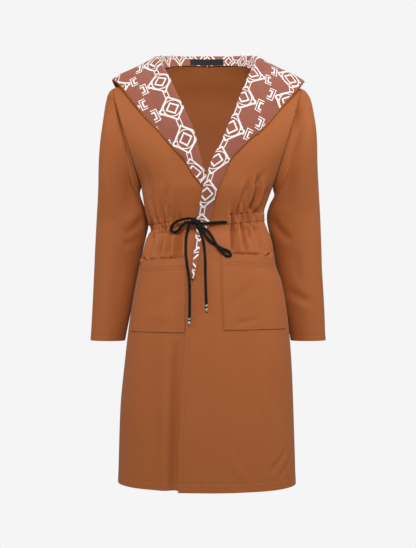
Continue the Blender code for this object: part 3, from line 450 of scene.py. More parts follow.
# A crease is followed in at least so many steps, and so many to its half width. It is felt this many
# half widths away, and the cloth stands out beside it by a share of its depth, so far from its middle
CREASE_STEPS, CREASE_FINE, CREASE_REACH = 21, 3, 5
BANK_SHARE, BANK_AT = 0.3, 2.0
# Long soft waves of the hanging cloth, which the pockets and lapels follow. A negative depth stands out
DRAPES = (
    Crease((-0.155, -0.47), (-0.158, -0.66), (-0.166, -0.99), -0.0016, 0.022),
    Crease((-0.120, -0.56), (-0.122, -0.76), (-0.125, -1.03), 0.0013, 0.020),
    Crease((-0.088, -0.50), (-0.090, -0.72), (-0.094, -1.02), -0.0012, 0.018),
    Crease((0.030, -0.55), (0.026, -0.78), (0.022, -1.03), -0.0012, 0.026),
    Crease((0.085, -0.62), (0.090, -0.80), (0.094, -1.03), 0.0014, 0.018),
    Crease((0.064, -0.60), (0.066, -0.80), (0.064, -1.02), -0.0012, 0.008),
    Crease((0.140, -0.52), (0.150, -0.76), (0.160, -1.03), -0.0016, 0.020),
    Crease((0.118, -0.12), (0.112, -0.19), (0.098, -0.27), -0.0012, 0.020),
    Crease((-0.120, -0.12), (-0.112, -0.20), (-0.095, -0.29), -0.0012, 0.020),
)
BACK_DRAPES = (
    Crease((-0.150, -0.47), (-0.155, -0.70), (-0.160, -1.03), -0.0022, 0.020),
    Crease((-0.095, -0.45), (-0.098, -0.70), (-0.104, -1.03), 0.0020, 0.018),
    Crease((-0.045, -0.44), (-0.046, -0.70), (-0.050, -1.03), -0.0024, 0.022),
    Crease((0.012, -0.45), (0.014, -0.72), (0.018, -1.03), 0.0020, 0.020),
    Crease((0.062, -0.44), (0.066, -0.72), (0.072, -1.03), -0.0022, 0.020),
    Crease((0.118, -0.45), (0.124, -0.70), (0.130, -1.03), 0.0018, 0.018),
    Crease((0.160, -0.50), (0.166, -0.74), (0.172, -1.03), -0.0018, 0.018),
)
PANEL_CREASES = {
    (LEFT, FRONT): (
        Crease((-0.0985, -0.352), (-0.0969, -0.377), (-0.0976, -0.396), 0.0044, 0.0024),
        Crease((-0.1015, -0.388), (-0.1067, -0.405), (-0.1120, -0.422), 0.0037, 0.0030),
        Crease((-0.0870, -0.318), (-0.0885, -0.340), (-0.0910, -0.366), 0.0027, 0.0036),
        Crease((-0.0790, -0.372), (-0.0785, -0.410), (-0.0797, -0.449), -0.0027, 0.0034),
        Crease((-0.0623, -0.372), (-0.0612, -0.410), (-0.0635, -0.449), 0.0044, 0.0036),
        Crease((-0.0831, -0.262), (-0.0947, -0.312), (-0.1016, -0.362), 0.0024, 0.0066),
        Crease((-0.1340, -0.292), (-0.1240, -0.335), (-0.1120, -0.372), 0.0031, 0.0055),
        Crease((-0.1270, -0.374), (-0.1310, -0.396), (-0.1380, -0.425), 0.0034, 0.0040),
        Crease((-0.0730, -0.325), (-0.0740, -0.350), (-0.0720, -0.376), 0.0024, 0.0030),
        Crease((-0.1530, -0.215), (-0.1380, -0.262), (-0.1280, -0.318), 0.0027, 0.0080),
        Crease((-0.1310, -0.352), (-0.1290, -0.374), (-0.1300, -0.392), 0.0075, 0.0034),
        Crease((-0.1010, -0.350), (-0.1015, -0.374), (-0.1030, -0.396), 0.0085, 0.0032),
        Crease((-0.1260, -0.380), (-0.1320, -0.412), (-0.1400, -0.446), 0.0055, 0.0055),
        Crease((-0.1020, -0.380), (-0.1100, -0.412), (-0.1180, -0.448), 0.0070, 0.0060),
        Crease((-0.0860, -0.380), (-0.0900, -0.412), (-0.0930, -0.448), 0.0055, 0.0055),
        Crease((-0.0660, -0.378), (-0.0670, -0.412), (-0.0680, -0.450), 0.0075, 0.0052),
        Crease((-0.0730, -0.632), (-0.0765, -0.840), (-0.0800, -1.080), 0.0095, 0.0120),
        Crease((-0.1500, -0.4480), (-0.1000, -0.4462), (-0.0440, -0.4405), 0.0034, 0.0034),
        Crease((-0.1500, -0.4400), (-0.1478, -0.4465), (-0.1435, -0.4530), 0.0130, 0.0034),
    ),
    (RIGHT, FRONT): (
        Crease((0.1330, -0.238), (0.1157, -0.285), (0.0985, -0.345), 0.0058, 0.0050),
        Crease((0.1030, -0.258), (0.0833, -0.308), (0.0671, -0.350), 0.0070, 0.0058),
        Crease((0.1190, -0.248), (0.1130, -0.295), (0.0990, -0.334), 0.0110, 0.0056),
        Crease((0.0570, -0.338), (0.0580, -0.360), (0.0590, -0.380), 0.0075, 0.0030),
        Crease((0.0800, -0.336), (0.0822, -0.358), (0.0840, -0.380), 0.0085, 0.0032),
        Crease((0.1120, -0.322), (0.1130, -0.343), (0.1150, -0.366), 0.0090, 0.0036),
        Crease((0.0580, -0.366), (0.0605, -0.405), (0.0640, -0.448), 0.0090, 0.0064),
        Crease((0.0830, -0.364), (0.0890, -0.402), (0.0950, -0.446), 0.0075, 0.0062),
        Crease((0.1120, -0.364), (0.1220, -0.400), (0.1300, -0.442), 0.0075, 0.0062),
        Crease((0.1440, -0.272), (0.1319, -0.308), (0.1157, -0.348), 0.0048, 0.0046),
        Crease((0.0592, -0.335), (0.0615, -0.388), (0.0580, -0.437), 0.0051, 0.0032),
        Crease((0.1085, -0.350), (0.1138, -0.378), (0.1190, -0.404), 0.0041, 0.0026),
        Crease((0.1175, -0.345), (0.1231, -0.373), (0.1290, -0.398), 0.0034, 0.0026),
        Crease((0.0709, -0.318), (0.0716, -0.343), (0.0697, -0.372), 0.0037, 0.0026),
        Crease((0.0848, -0.306), (0.0855, -0.338), (0.0836, -0.374), 0.0044, 0.0026),
        Crease((0.0936, -0.312), (0.0964, -0.356), (0.1005, -0.412), 0.0058, 0.0030),
        Crease((0.1040, -0.322), (0.1060, -0.350), (0.1080, -0.392), 0.0037, 0.0026),
        Crease((0.1900, -0.884), (0.1682, -0.915), (0.1386, -0.943), 0.0022, 0.0052),
        Crease((0.2020, -0.892), (0.1874, -0.928), (0.1669, -0.954), 0.0018, 0.0046),
        Crease((0.1240, -0.740), (0.1480, -0.812), (0.1720, -0.880), -0.0012, 0.0110),
        Crease((0.0500, -0.880), (0.0700, -0.930), (0.1000, -0.960), -0.0009, 0.0100),
        Crease((0.0330, -0.4335), (0.0900, -0.4352), (0.1520, -0.4365), 0.0034, 0.0034),
        Crease((0.1400, -0.4420), (0.1440, -0.4365), (0.1462, -0.4300), 0.0130, 0.0034),
    ),
    (LEFT, BACK): (
        Crease((0.0300, -0.290), (0.0360, -0.335), (0.0400, -0.390), 0.0024, 0.0046),
        Crease((0.0900, -0.250), (0.0800, -0.305), (0.0760, -0.366), 0.0024, 0.0050),
        Crease((0.1240, -0.270), (0.1120, -0.312), (0.1040, -0.360), 0.0022, 0.0044),
        Crease((0.0560, -0.352), (0.0580, -0.392), (0.0570, -0.440), 0.0024, 0.0034),
        Crease((0.0980, -0.352), (0.1040, -0.388), (0.1110, -0.430), 0.0022, 0.0032),
    ),
    (RIGHT, BACK): (
        Crease((0.0240, -0.300), (0.0220, -0.345), (0.0250, -0.400), 0.0022, 0.0044),
        Crease((0.0700, -0.260), (0.0640, -0.312), (0.0620, -0.368), 0.0026, 0.0050),
        Crease((0.1200, -0.255), (0.1060, -0.305), (0.0960, -0.358), 0.0022, 0.0050),
        Crease((0.0430, -0.350), (0.0440, -0.390), (0.0420, -0.436), 0.0022, 0.0032),
        Crease((0.0880, -0.350), (0.0930, -0.390), (0.0990, -0.436), 0.0024, 0.0034),
    ),
}
# Fine pinches between the main gathers, round from the middle front or back
PINCHES = {
    (LEFT, FRONT): (31.0, 41.0, 52.5, 63.5),
    (RIGHT, FRONT): (30.5, 37.5, 44.0, 51.0, 58.0, 66.0),
    (LEFT, BACK): (6.0, 18.0, 30.0, 43.0, 55.5, 68.0),
    (RIGHT, BACK): (3.0, 15.0, 27.5, 40.0, 53.0, 66.5),
}
PINCH_DEPTH = 0.0066
PINCH_WIDE = 1.25
PINCH_ABOVE, PINCH_BELOW = 0.016, 0.026
# Degrees that a pinch leans over in a metre of height
PINCH_LEAN = 40
# The gathers of the cloth are fuller than those of the solids, and run further below the waist
GATHER_FULL = 1.65
BELOW_MORE = 1.25
# Half width of a trough, as a share of the way to the next one, and half height of the ridges
TROUGH_SHARE = 0.28
RIDGE_HALF = 0.045
# The drawcord's channel: half its height, how far out from the middle it begins and is whole, its two
# stitched grooves, and how far it stands out between them
CHANNEL_HALF = 0.0105
CHANNEL_FROM, CHANNEL_EASE = 0.040, 0.010
CHANNEL_GROOVE, CHANNEL_GROOVE_HALF = 0.0009, 0.0018
CHANNEL_PROUD, CHANNEL_PROUD_EASE = 0.0011, (0.001, -0.003)
# Cloth left open at a side or shoulder seam, drawn back over this many rows or columns, along the way
# to the point that lies this many on. The seams count from this far past the underarm and the neck
SIDE_GAP = 0.00025
GAP_ROWS, GAP_WAY = 8, 4
PIT_SLACK, NECK_SLACK = 0.001, 0.010
# Folds of the sleeves, with x as a distance out from the middle of the coat
SLEEVE_CREASES = {
    LEFT: {
        FRONT: (
            Crease((0.2260, -0.050), (0.2040, -0.160), (0.1760, -0.345), 0.0225, 0.0275),
            Crease((0.2230, -0.060), (0.2160, -0.100), (0.2030, -0.150), 0.0020, 0.0060),
            Crease((0.1900, -0.140), (0.1830, -0.220), (0.1760, -0.320), 0.0040, 0.0110),
            Crease((0.2380, -0.090), (0.2400, -0.220), (0.2440, -0.340), -0.0020, 0.0120),
            Crease((0.1500, -0.330), (0.1700, -0.366), (0.1980, -0.384), 0.0044, 0.0085),
            Crease((0.1560, -0.372), (0.1760, -0.400), (0.2050, -0.412), 0.0026, 0.0080),
            Crease((0.2060, -0.420), (0.2160, -0.500), (0.2220, -0.600), 0.0016, 0.0120),
        ),
        BACK: (
            Crease((0.2120, -0.060), (0.2020, -0.120), (0.1880, -0.190), 0.0036, 0.0070),
            Crease((0.1620, -0.300), (0.1900, -0.340), (0.2250, -0.352), 0.0046, 0.0090),
            Crease((0.1700, -0.370), (0.2000, -0.398), (0.2350, -0.404), 0.0040, 0.0085),
            Crease((0.2300, -0.430), (0.2320, -0.510), (0.2340, -0.600), 0.0016, 0.0120),
        ),
    },
    RIGHT: {
        FRONT: (
            Crease((0.2270, -0.050), (0.2060, -0.150), (0.1780, -0.330), 0.0180, 0.0240),
            Crease((0.2225, -0.070), (0.2130, -0.112), (0.1990, -0.165), 0.0030, 0.0058),
            Crease((0.2290, -0.100), (0.2153, -0.186), (0.1890, -0.278), 0.0034, 0.0095),
            Crease((0.2460, -0.090), (0.2480, -0.200), (0.2500, -0.330), -0.0022, 0.0120),
            Crease((0.1560, -0.340), (0.1780, -0.380), (0.2060, -0.398), 0.0040, 0.0085),
            Crease((0.1900, -0.512), (0.2225, -0.537), (0.2560, -0.545), 0.0032, 0.0095),
            Crease((0.2080, -0.420), (0.2140, -0.460), (0.2200, -0.500), 0.0016, 0.0100),
        ),
        BACK: (
            Crease((0.2140, -0.060), (0.2040, -0.125), (0.1900, -0.195), 0.0036, 0.0070),
            Crease((0.1640, -0.310), (0.1920, -0.345), (0.2280, -0.356), 0.0046, 0.0090),
            Crease((0.1740, -0.378), (0.2060, -0.404), (0.2400, -0.408), 0.0038, 0.0085),
            Crease((0.2340, -0.440), (0.2380, -0.520), (0.2400, -0.600), 0.0016, 0.0120),
        ),
    },
}
# Folds of the hood: over the pouch seen from behind, and where the stand runs on into the lapels
POUCH_CREASES = (
    Crease((0.018, 0.010), (0.030, -0.090), (0.022, -0.172), 0.0034, 0.0090),
    Crease((0.066, -0.020), (0.072, -0.080), (0.060, -0.140), 0.0038, 0.0085),
    Crease((0.110, -0.030), (0.122, -0.064), (0.118, -0.105), 0.0030, 0.0075),
    Crease((0.044, -0.020), (0.052, -0.080), (0.044, -0.160), -0.0022, 0.0090),
)
STAND_CREASES = (
    Crease((0.100, 0.060), (0.104, 0.036), (0.108, 0.012), 0.0022, 0.0042),
    Crease((0.074, 0.060), (0.080, 0.044), (0.082, 0.026), 0.0014, 0.0050),
    Crease((0.128, 0.044), (0.120, 0.020), (0.112, -0.014), -0.0014, 0.0060),
)
# The tied knot's strands, whose points are given like those of the routes
KNOT_STRANDS = (
    ((-0.0500, -0.3525, 0.0110), (-0.0405, -0.3515, 0.0130), (-0.0300, -0.3540, 0.0142),
     (-0.0200, -0.3585, 0.0140), (-0.0110, -0.3630, 0.0125), (-0.0055, -0.3635, 0.0115)),
    ((-0.0500, -0.3600, 0.0110), (-0.0400, -0.3600, 0.0105), (-0.0300, -0.3620, 0.0105),
     (-0.0200, -0.3670, 0.0115), (-0.0100, -0.3735, 0.0128), (0.0010, -0.3790, 0.0125)),
    ((-0.0403, -0.3637, 0.0120), (-0.0365, -0.3600, 0.0150), (-0.0310, -0.3565, 0.0160),
     (-0.0250, -0.3575, 0.0150), (-0.0210, -0.3620, 0.0120)),
    ((-0.0185, -0.3750, 0.0125), (-0.0215, -0.3690, 0.0150), (-0.0255, -0.3620, 0.0165),
     (-0.0290, -0.3560, 0.0150), (-0.0300, -0.3520, 0.0110)),
    ((-0.0070, -0.3840, 0.0115), (-0.0125, -0.3780, 0.0125), (-0.0180, -0.3710, 0.0125),
     (-0.0235, -0.3650, 0.0105)),
)
# Step of the lines of the braided cords, then the pitch of the twill's ribs, of the braid's and of the
# label's two sets
BRAID_STEP = 0.0016
TWILL = 0.0014
BRAID = 0.0026
LABEL_RIBS = (0.0007, 0.0005)
LABEL_HIGH, LABEL_EDGE = 0.0200, 0.0012
# The print: one repeat, its two line widths, and where it starts on each half of the hood
PRINT_WIDE, PRINT_HIGH = 0.104, 0.082
BOLD_LINE, THIN_LINE = 0.0036, 0.0022
PRINT_SHIFT = {LEFT: (0.020, 0.010), RIGHT: (0.036, 0.040)}
# Its figures: a ring, two lozenges, two squares with their line widths, and brackets, whose two sides lie
# this far out and are made of short bars and of arms from ARM_FROM to ARM_TO
RING_RADIUS = 0.0215
LOZENGES = (0.0330, 0.0150)
SQUARES = ((0.0085, BOLD_LINE), (0.0150, THIN_LINE))
BRACKET, BAR_LONG = 0.0050, 0.0100
ARM_FROM, ARM_TO = 0.0220, LOZENGES[0]
# Distance to a lozenge's slanted side, as a share of that along the cloth
SLANT = 0.7071
# A sleeve's head puckers and stands out over HEAD_REACH from its seam. Both come in from the seam over
# SEAM_EASE, and the sleeve's folds over FOLD_EASE
SEAM_PUCKER = 0.0007
HEAD_EASE = 0.0003
SEAM_EASE, FOLD_EASE, HEAD_REACH = 0.006, 0.007, 0.012
# The hood's shell reaches further out than the surface between its layers, and the lining less far.
# The shell's rim curls over the lining within CURL_REACH of its edge
RIM_OUT, RIM_IN, RIM_CURL, CURL_REACH = 0.0008, 0.0020, 0.0013, 0.0034
EDGE_WAVE, EDGE_WAVE_PITCH = 0.0014, 0.22
# The pouch's folds show again on its inner side, shallower and a little further in
INNER_FOLD, INNER_SHIFT = 0.8, 0.012
# Mouth of a pocket: its wave, and how far it gapes near its outer corner
MOUTH_WAVE = {LEFT: -0.0008, RIGHT: 0.0012}
CORNER_GAPE = 0.0055
CORNER_AT, CORNER_WIDE, CORNER_FALL = 0.93, 0.05, 8
# Profile of a cord tip, as distance along it and radius, and its black band
TIP_TURNS = (
    (0.0000, 0.0030), (0.0004, 0.0034), (0.0040, 0.0034), (0.0046, 0.0028), (0.0049, 0.00275),
    (0.0088, 0.00275), (0.0091, 0.0028), (0.0097, 0.0032), (0.0140, 0.0032), (0.0152, 0.0027),
    (0.0160, 0.0018),
)
TIP_SIDES, TIP_BEVEL, TIP_SHARP = 28, 0.00018, 40
BAND_FROM, BAND_TO = 0.0043, 0.0094
POCKET_CREASES = {
    LEFT: (
        Crease((-0.060, -0.500), (-0.100, -0.540), (-0.140, -0.560), 0.0008, 0.0120),
        Crease((-0.070, -0.590), (-0.100, -0.580), (-0.140, -0.585), -0.0006, 0.0100),
    ),
    RIGHT: (
        Crease((0.050, -0.560), (0.080, -0.530), (0.120, -0.500), 0.0008, 0.0120),
        Crease((0.060, -0.596), (0.090, -0.590), (0.125, -0.582), 0.0010, 0.0060),
    ),
}
# Each run of the drawcord: its length, what its far end is, how it lies, and the tip on it
Run = namedtuple("Run", "length far_end lay tip")


def steady(knots, values, at):
    """Curve through a table's points that never swings past them."""
    knots = np.asarray(knots, float)
    values = np.asarray(values, float)
    step = np.diff(knots)
    slope = np.diff(values) / step
    turn = np.zeros_like(values)
    turn[0], turn[-1] = slope[0], slope[-1]
    for i in range(1, len(values) - 1):
        if slope[i - 1] * slope[i] > 0:
            near, far = 2 * step[i] + step[i - 1], step[i] + 2 * step[i - 1]
            turn[i] = (near + far) / (near / slope[i - 1] + far / slope[i])
    return hermite(knots, values, turn, at)


def round_curve(knots, values, at):
    """Curve through points that swings freely, for profiles and cords."""
    knots = np.asarray(knots, float)
    values = np.asarray(values, float)
    step = np.diff(knots)[:, None]
    slope = np.diff(values, axis=0) / step
    turn = np.empty_like(values)
    turn[0], turn[-1] = slope[0], slope[-1]
    turn[1:-1] = (step[1:] * slope[:-1] + step[:-1] * slope[1:]) / (step[1:] + step[:-1])
    return hermite(knots, values, turn, at)


def hermite(knots, values, turn, at):
    at = np.clip(np.asarray(at, float), knots[0], knots[-1])
    i = np.clip(np.searchsorted(knots, at, side="right") - 1, 0, len(knots) - 2)
    step = knots[i + 1] - knots[i]
    t = (at - knots[i]) / step
    if values.ndim > 1:
        t, step = t[:, None], step[:, None]
    return (values[i] * (1 + 2 * t) * (1 - t) ** 2 + turn[i] * step * t * (1 - t) ** 2
            + values[i + 1] * t * t * (3 - 2 * t) + turn[i + 1] * step * t * t * (t - 1))


def ease(low, high, value):
    t = np.clip((value - low) / (high - low), 0.0, 1.0)
    return t * t * (3 - 2 * t)


def joined(*bands):
    """Even steps over each band in turn, given as start, end and count, with a shared end once."""
    return np.concatenate([bands[0][:1], *(np.linspace(*band)[1:] for band in bands)])


def run_along(line):
    """Distance of each point of a line from the first, along the line."""
    return np.concatenate([[0.0], np.cumsum(np.linalg.norm(np.diff(line, axis=0), axis=1))])


def column(table, name, at):
    """Value of one named column of a table, whose first column is its height or reach."""
    rows = sorted(table)
    return steady([row[0] for row in rows], [getattr(row, name) for row in rows], at)


def shoulder_z(x):
    return column(SHOULDER_LINE, "z", np.abs(x))


def half_width(z, side):
    return column(LEVELS, "left" if side == LEFT else "right", z)


def surface_y(x, z, face):
    """Depth of the coat's front or back at places seen from the front."""
    x, z = np.broadcast_arrays(np.asarray(x, float), np.asarray(z, float))
    wide = np.where(x < 0, half_width(z, LEFT), half_width(z, RIGHT))
    share = np.minimum(1.0, np.abs(x) / wide)
    across = (1 - share ** SQUARENESS) ** (1 / SQUARENESS)
    below = np.clip((shoulder_z(x) - z) / TURN[face], 0.0, 1.0)
    over = np.sqrt(1 - (1 - below) ** 2)
    return face * column(LEVELS, "front" if face == FRONT else "back", z) * across * over


def armhole_x(z):
    return PIT_X + (SHOULDER_X - PIT_X) * (z - PIT_Z) / (SHOULDER_Z - PIT_Z)


def underlap(x, z):
    low, high = LAP_DEPTH
    deep = low + (high - low) * ease(*LAP_WAIST_Z, z)
    return deep * ease(*LAP_X, x) * ease(*LAP_TOP_Z, z)


def crease_depth(table, x, z):
    """How far in a table's creases take the cloth. Beside each trough it stands out a little."""
    x, z = np.broadcast_arrays(np.asarray(x, float), np.asarray(z, float))
    total = np.zeros(x.shape)
    for row in table:
        fine = CREASE_FINE * math.dist(row.start, row.end) / row.width
        t = np.linspace(0, 1, CREASE_STEPS + int(fine))
        start, middle, end = (np.array(p) for p in (row.start, row.middle, row.end))
        bend = 2 * middle - (start + end) / 2
        curve = np.outer((1 - t) ** 2, start) + np.outer(2 * t * (1 - t), bend) + np.outer(t ** 2, end)
        reach = row.width * CREASE_REACH
        low, high = curve.min(axis=0) - reach, curve.max(axis=0) + reach
        near = (x > low[0]) & (x < high[0]) & (z > low[1]) & (z < high[1])
        if not near.any():
            continue
        away = np.hypot(x[near][:, None] - curve[:, 0], z[near][:, None] - curve[:, 1])
        closest = away.argmin(axis=1)
        away = away.min(axis=1) / row.width
        fade = 1 - np.abs(2 * t[closest] - 1) ** 3
        bank = BANK_SHARE * np.exp(-(away - BANK_AT) ** 2)
        total[near] += row.depth * fade * (np.exp(-away ** 2) - bank)
    return total


def front_y(side, x, z):
    """Depth of a front, with its long soft waves. Its left side sinks under the right front."""
    y = surface_y(x, z, FRONT) + crease_depth(DRAPES, x, z)
    return y + underlap(x, z) if side == LEFT else y


def edge_out(side, z):
    """Front edge of a panel, out from the middle on the panel's own side."""
    inset = ROLL_INSET * ease(*(ROLL_END_Z[side] + k for k in INSET_EASE), z)
    return column(FRONT_EDGE[side], "out", z) + inset


def gather_depth(side, face, angle, z):
    """Sum of the waist gathers: rounded troughs go in, and the cloth between them stands out."""
    table = GATHERS[side, face]
    above = z - (WAIST_Z + WAIST_RISE * side * np.sin(np.radians(angle)))
    total = np.zeros(np.broadcast(angle, z).shape)
    for i, row in enumerate(table):
        before = row.angle - table[i - 1].angle if i else GATHER_REACH
        after = table[i + 1].angle - row.angle if i + 1 < len(table) else GATHER_REACH
        wide = np.where(angle < row.angle, before, after) * TROUGH_SHARE
        run = np.where(above > 0, row.above, row.below * BELOW_MORE)
        trough = np.exp(-((angle - row.angle) / wide) ** 2 - (above / run) ** 2)
        total += row.depth * GATHER_FULL * trough
    for middle in PINCHES[side, face]:
        run = np.where(above > 0, PINCH_ABOVE, PINCH_BELOW)
        across = (angle - middle - PINCH_LEAN * above) / PINCH_WIDE
        total += PINCH_DEPTH * np.exp(-across ** 2 - (above / run) ** 2)
    mean = sum(row.depth for row in table) / len(table)
    first = table[0].angle
    lift = ease(first - GATHER_REACH, first, angle) * np.exp(-(above / RIDGE_HALF) ** 2)
    return total - RIDGE * mean * GATHER_FULL * lift


def panel_row(side, face, shares, down=None, z=None):
    """Row of points of a body panel, at a part of the way down to the underarm or at a height."""
    x = np.zeros(len(shares))
    height = np.full(len(shares), 0.0 if z is None else z)
    for _ in range(1 if down is None else ROW_PASSES):
        if down is not None:
            top = shoulder_z(x)
            if face == BACK:
                top = np.where(np.abs(x) < NECK_X, column(BACK_NECK, "z", np.abs(x)), top)
            height = top * (1 - down) + PIT_Z * down
        outer = np.where(height > PIT_Z, armhole_x(height), half_width(height, side))
        inner = edge_out(side, height) if face == FRONT else np.zeros(len(shares))
        wide = np.where(inner >= 0, half_width(height, side), half_width(height, -side))
        low = np.arcsin(np.clip(inner / wide, -1, 1))
        high = np.arcsin(np.minimum(1, outer / half_width(height, side)))
        angle = low + (high - low) * shares
        wide = np.where(angle >= 0, half_width(height, side), half_width(height, -side))
        x = side * wide * np.sin(angle)
    if face == FRONT:
        y = front_y(side, x, height)
    else:
        y = surface_y(x, height, BACK) - crease_depth(BACK_DRAPES, x, height)
    fold = gather_depth(side, face, np.degrees(angle), height)
    fold = fold + crease_depth(PANEL_CREASES[side, face], side * x if face == BACK else x, height)
    x = x - side * np.sin(angle) * fold
    y = y - face * np.cos(angle) * fold
    return np.stack([x, y, height], axis=1)


def panel_grid(side, face, shares):
    """Rows of points from the shoulder seam down to the hem. The back's hem is the lower one."""
    low = HEM_Z[side] if face == FRONT else min(HEM_Z.values())
    downs = np.linspace(0, 1, SHOULDER_ROWS) ** SHOULDER_CROWD
    heights = [z for start, end, step in ROW_BANDS for z in np.arange(start, end, -step)]
    heights += [*np.linspace(SKIRT_FROM, low + HEM_BAND, SKIRT_ROWS)]
    heights += [*np.arange(low + HEM_BAND - HEM_STEP, low + HEM_STEP / 2, -HEM_STEP), low]
    rows = [panel_row(side, face, shares, down=down) for down in downs]
    return np.array(rows + [panel_row(side, face, shares, z=z) for z in heights])


def normals(grid, ring=False):
    if ring:
        across = np.roll(grid, -1, axis=1) - np.roll(grid, 1, axis=1)
    else:
        across = np.gradient(grid, axis=1)
    along = np.gradient(grid, axis=0)
    normal = np.cross(along, across)
    return normal / np.maximum(np.linalg.norm(normal, axis=2, keepdims=True), 1e-9)


def lengths(grid, axis):
    """Distance along the cloth from the first row or column."""
    step = np.linalg.norm(np.diff(grid, axis=axis), axis=2)
    first = np.zeros_like(np.take(grid[..., 0], [0], axis=axis))
    return np.concatenate([first, np.cumsum(step, axis=axis)], axis=axis)


def add_mesh(name, points, faces, finish, maps=None, sharp=CLOTH_SHARP):
    mesh = bpy.data.meshes.new(name)
    mesh.from_pydata(np.asarray(points).tolist(), [], faces)
    if maps is not None:
        layer = mesh.uv_layers.new(name=MAP)
        layer.data.foreach_set("uv", np.asarray(maps, float).ravel())
    mesh.shade_smooth()
    mesh.set_sharp_from_angle(angle=math.radians(sharp))
    mesh.materials.append(finish)
    piece = bpy.data.objects.new(name, mesh)
    bpy.context.collection.objects.link(piece)
    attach(piece, "root")
    return piece


def add_wall(name, grid, finish, shift=0.0, ring=False, thick=CLOTH, chart=None):
    """Closed wall about a grid. chart is the grid's place on the flat cloth, in metres."""
    turn = normals(grid, ring)
    rows, cols = grid.shape[:2]
    count = rows * cols
    if chart is None:
        whole = np.concatenate([grid, grid[:, :1]], axis=1) if ring else grid
        across, along = lengths(whole, 1), lengths(whole, 0)
        chart = np.stack([across, along], axis=2)
    spans = cols if ring else cols - 1
    r, c = (k.ravel() for k in np.meshgrid(np.arange(rows - 1), np.arange(spans), indexing="ij"))
    a, b = r * cols + c, r * cols + (c + 1) % cols
    corner = [chart[r, c], chart[r + 1, c], chart[r + 1, c + 1], chart[r, c + 1]]
    faces = [np.stack([a, a + cols, b + cols, b], 1), np.stack([b, b + cols, a + cols, a], 1) + count]
    maps = [np.stack(corner, 1), np.stack(corner[::-1], 1)]

    def rim(first, second, first_place, second_place):
        faces.append(np.stack([first, second, second + count, first + count], 1))
        maps.append(np.stack([first_place, second_place, second_place, first_place], 1))

    edge = np.arange(spans)
    a, b, last = edge, (edge + 1) % cols, (rows - 1) * cols
    rim(a, b, chart[0, edge], chart[0, edge + 1])
    rim(b + last, a + last, chart[-1, edge + 1], chart[-1, edge])
    if not ring:
        up = np.arange(rows - 1)
        a, b = up * cols, up * cols + cols - 1
        rim(a + cols, a, chart[up + 1, 0], chart[up, 0])
        rim(b, b + cols, chart[up, -1], chart[up + 1, -1])
    outside = (grid + turn * (shift + thick / 2)).reshape(-1, 3)
    inside = (grid + turn * (shift - thick / 2)).reshape(-1, 3)
    points, faces = np.vstack([outside, inside]), np.vstack(faces).tolist()
    return add_mesh(name, points, faces, finish, np.vstack(maps))


def uneven(along, seed):
    """Small waves with no even pitch, along a stitched line."""
    total = sum(high * np.sin(along / long + share * seed) for high, long, share in WAVES)
    return total / sum(high for high, long, share in WAVES)


def stitched(away, along, deep, seed, pucker=PUCKER):
    """Depth of the cloth about a stitched line that lies deep in from an edge."""
    groove = GROOVE * np.exp(-((away - deep) / GROOVE_HALF) ** 2)
    turned = -TURNED_IN * (1 - ease(deep + TURNED_FROM, deep + TURNED_TO, away))
    waves = pucker * uneven(along, seed) * np.exp(-((away - deep - PUCKER_AT) / PUCKER_HALF) ** 2)
    return groove + turned + waves


def line_on(grid, turn, away, deep, axis, lift):
    """Points and normals where the distance from an edge is deep, on the outer side of the cloth."""
    points, ways = [], []
    for k in range(grid.shape[1 - axis]):
        spots, outs, far = (np.take(v, k, axis=1 - axis) for v in (grid, turn, away))
        if not far.min() <= deep <= far.max():
            continue
        order = np.argsort(far)
        points.append([np.interp(deep, far[order], spots[order, j]) for j in range(3)])
        ways.append([np.interp(deep, far[order], outs[order, j]) for j in range(3)])
    points, ways = np.array(points), np.array(ways)
    return points + ways * lift, ways


def add_stitches(name, lines):
    """Rows of single stitches, each a small tapered bar that dips into the cloth at both ends."""
    points, faces = [], []
    turns = [2 * math.pi * k / STITCH_SIDES for k in range(STITCH_SIDES)]
    last = (len(STITCH_SHAPE) - 1) * STITCH_SIDES
    for spots, ways in lines:
        far = run_along(spots)
        for start in np.arange(STITCH_STEP / 2, far[-1] - STITCH_STEP / 2, STITCH_STEP):
            steps = [start + STITCH_LONG * row.along for row in STITCH_SHAPE]
            at = np.stack([np.interp(steps, far, spots[:, j]) for j in range(3)], axis=1)
            up = np.array([np.interp(start, far, ways[:, j]) for j in range(3)])
            up /= np.linalg.norm(up)
            side = np.cross(at[-1] - at[0], up)
            side /= max(np.linalg.norm(side), 1e-9)
            base = len(points)
            for spot, row in zip(at, STITCH_SHAPE):
                middle = spot + up * STITCH_THICK * row.lift
                points += [middle + (side * math.cos(t) + up * math.sin(t)) * STITCH_THICK * row.wide
                           for t in turns]
            for first in range(base, base + last, STITCH_SIDES):
                for k in range(STITCH_SIDES):
                    a, b = first + k, first + (k + 1) % STITCH_SIDES
                    faces.append((a, b, b + STITCH_SIDES, a + STITCH_SIDES))
            faces.append(tuple(base + k for k in reversed(range(STITCH_SIDES))))
            faces.append(tuple(base + last + k for k in range(STITCH_SIDES)))
    return add_mesh(name, points, faces, FINISHES["thread"])


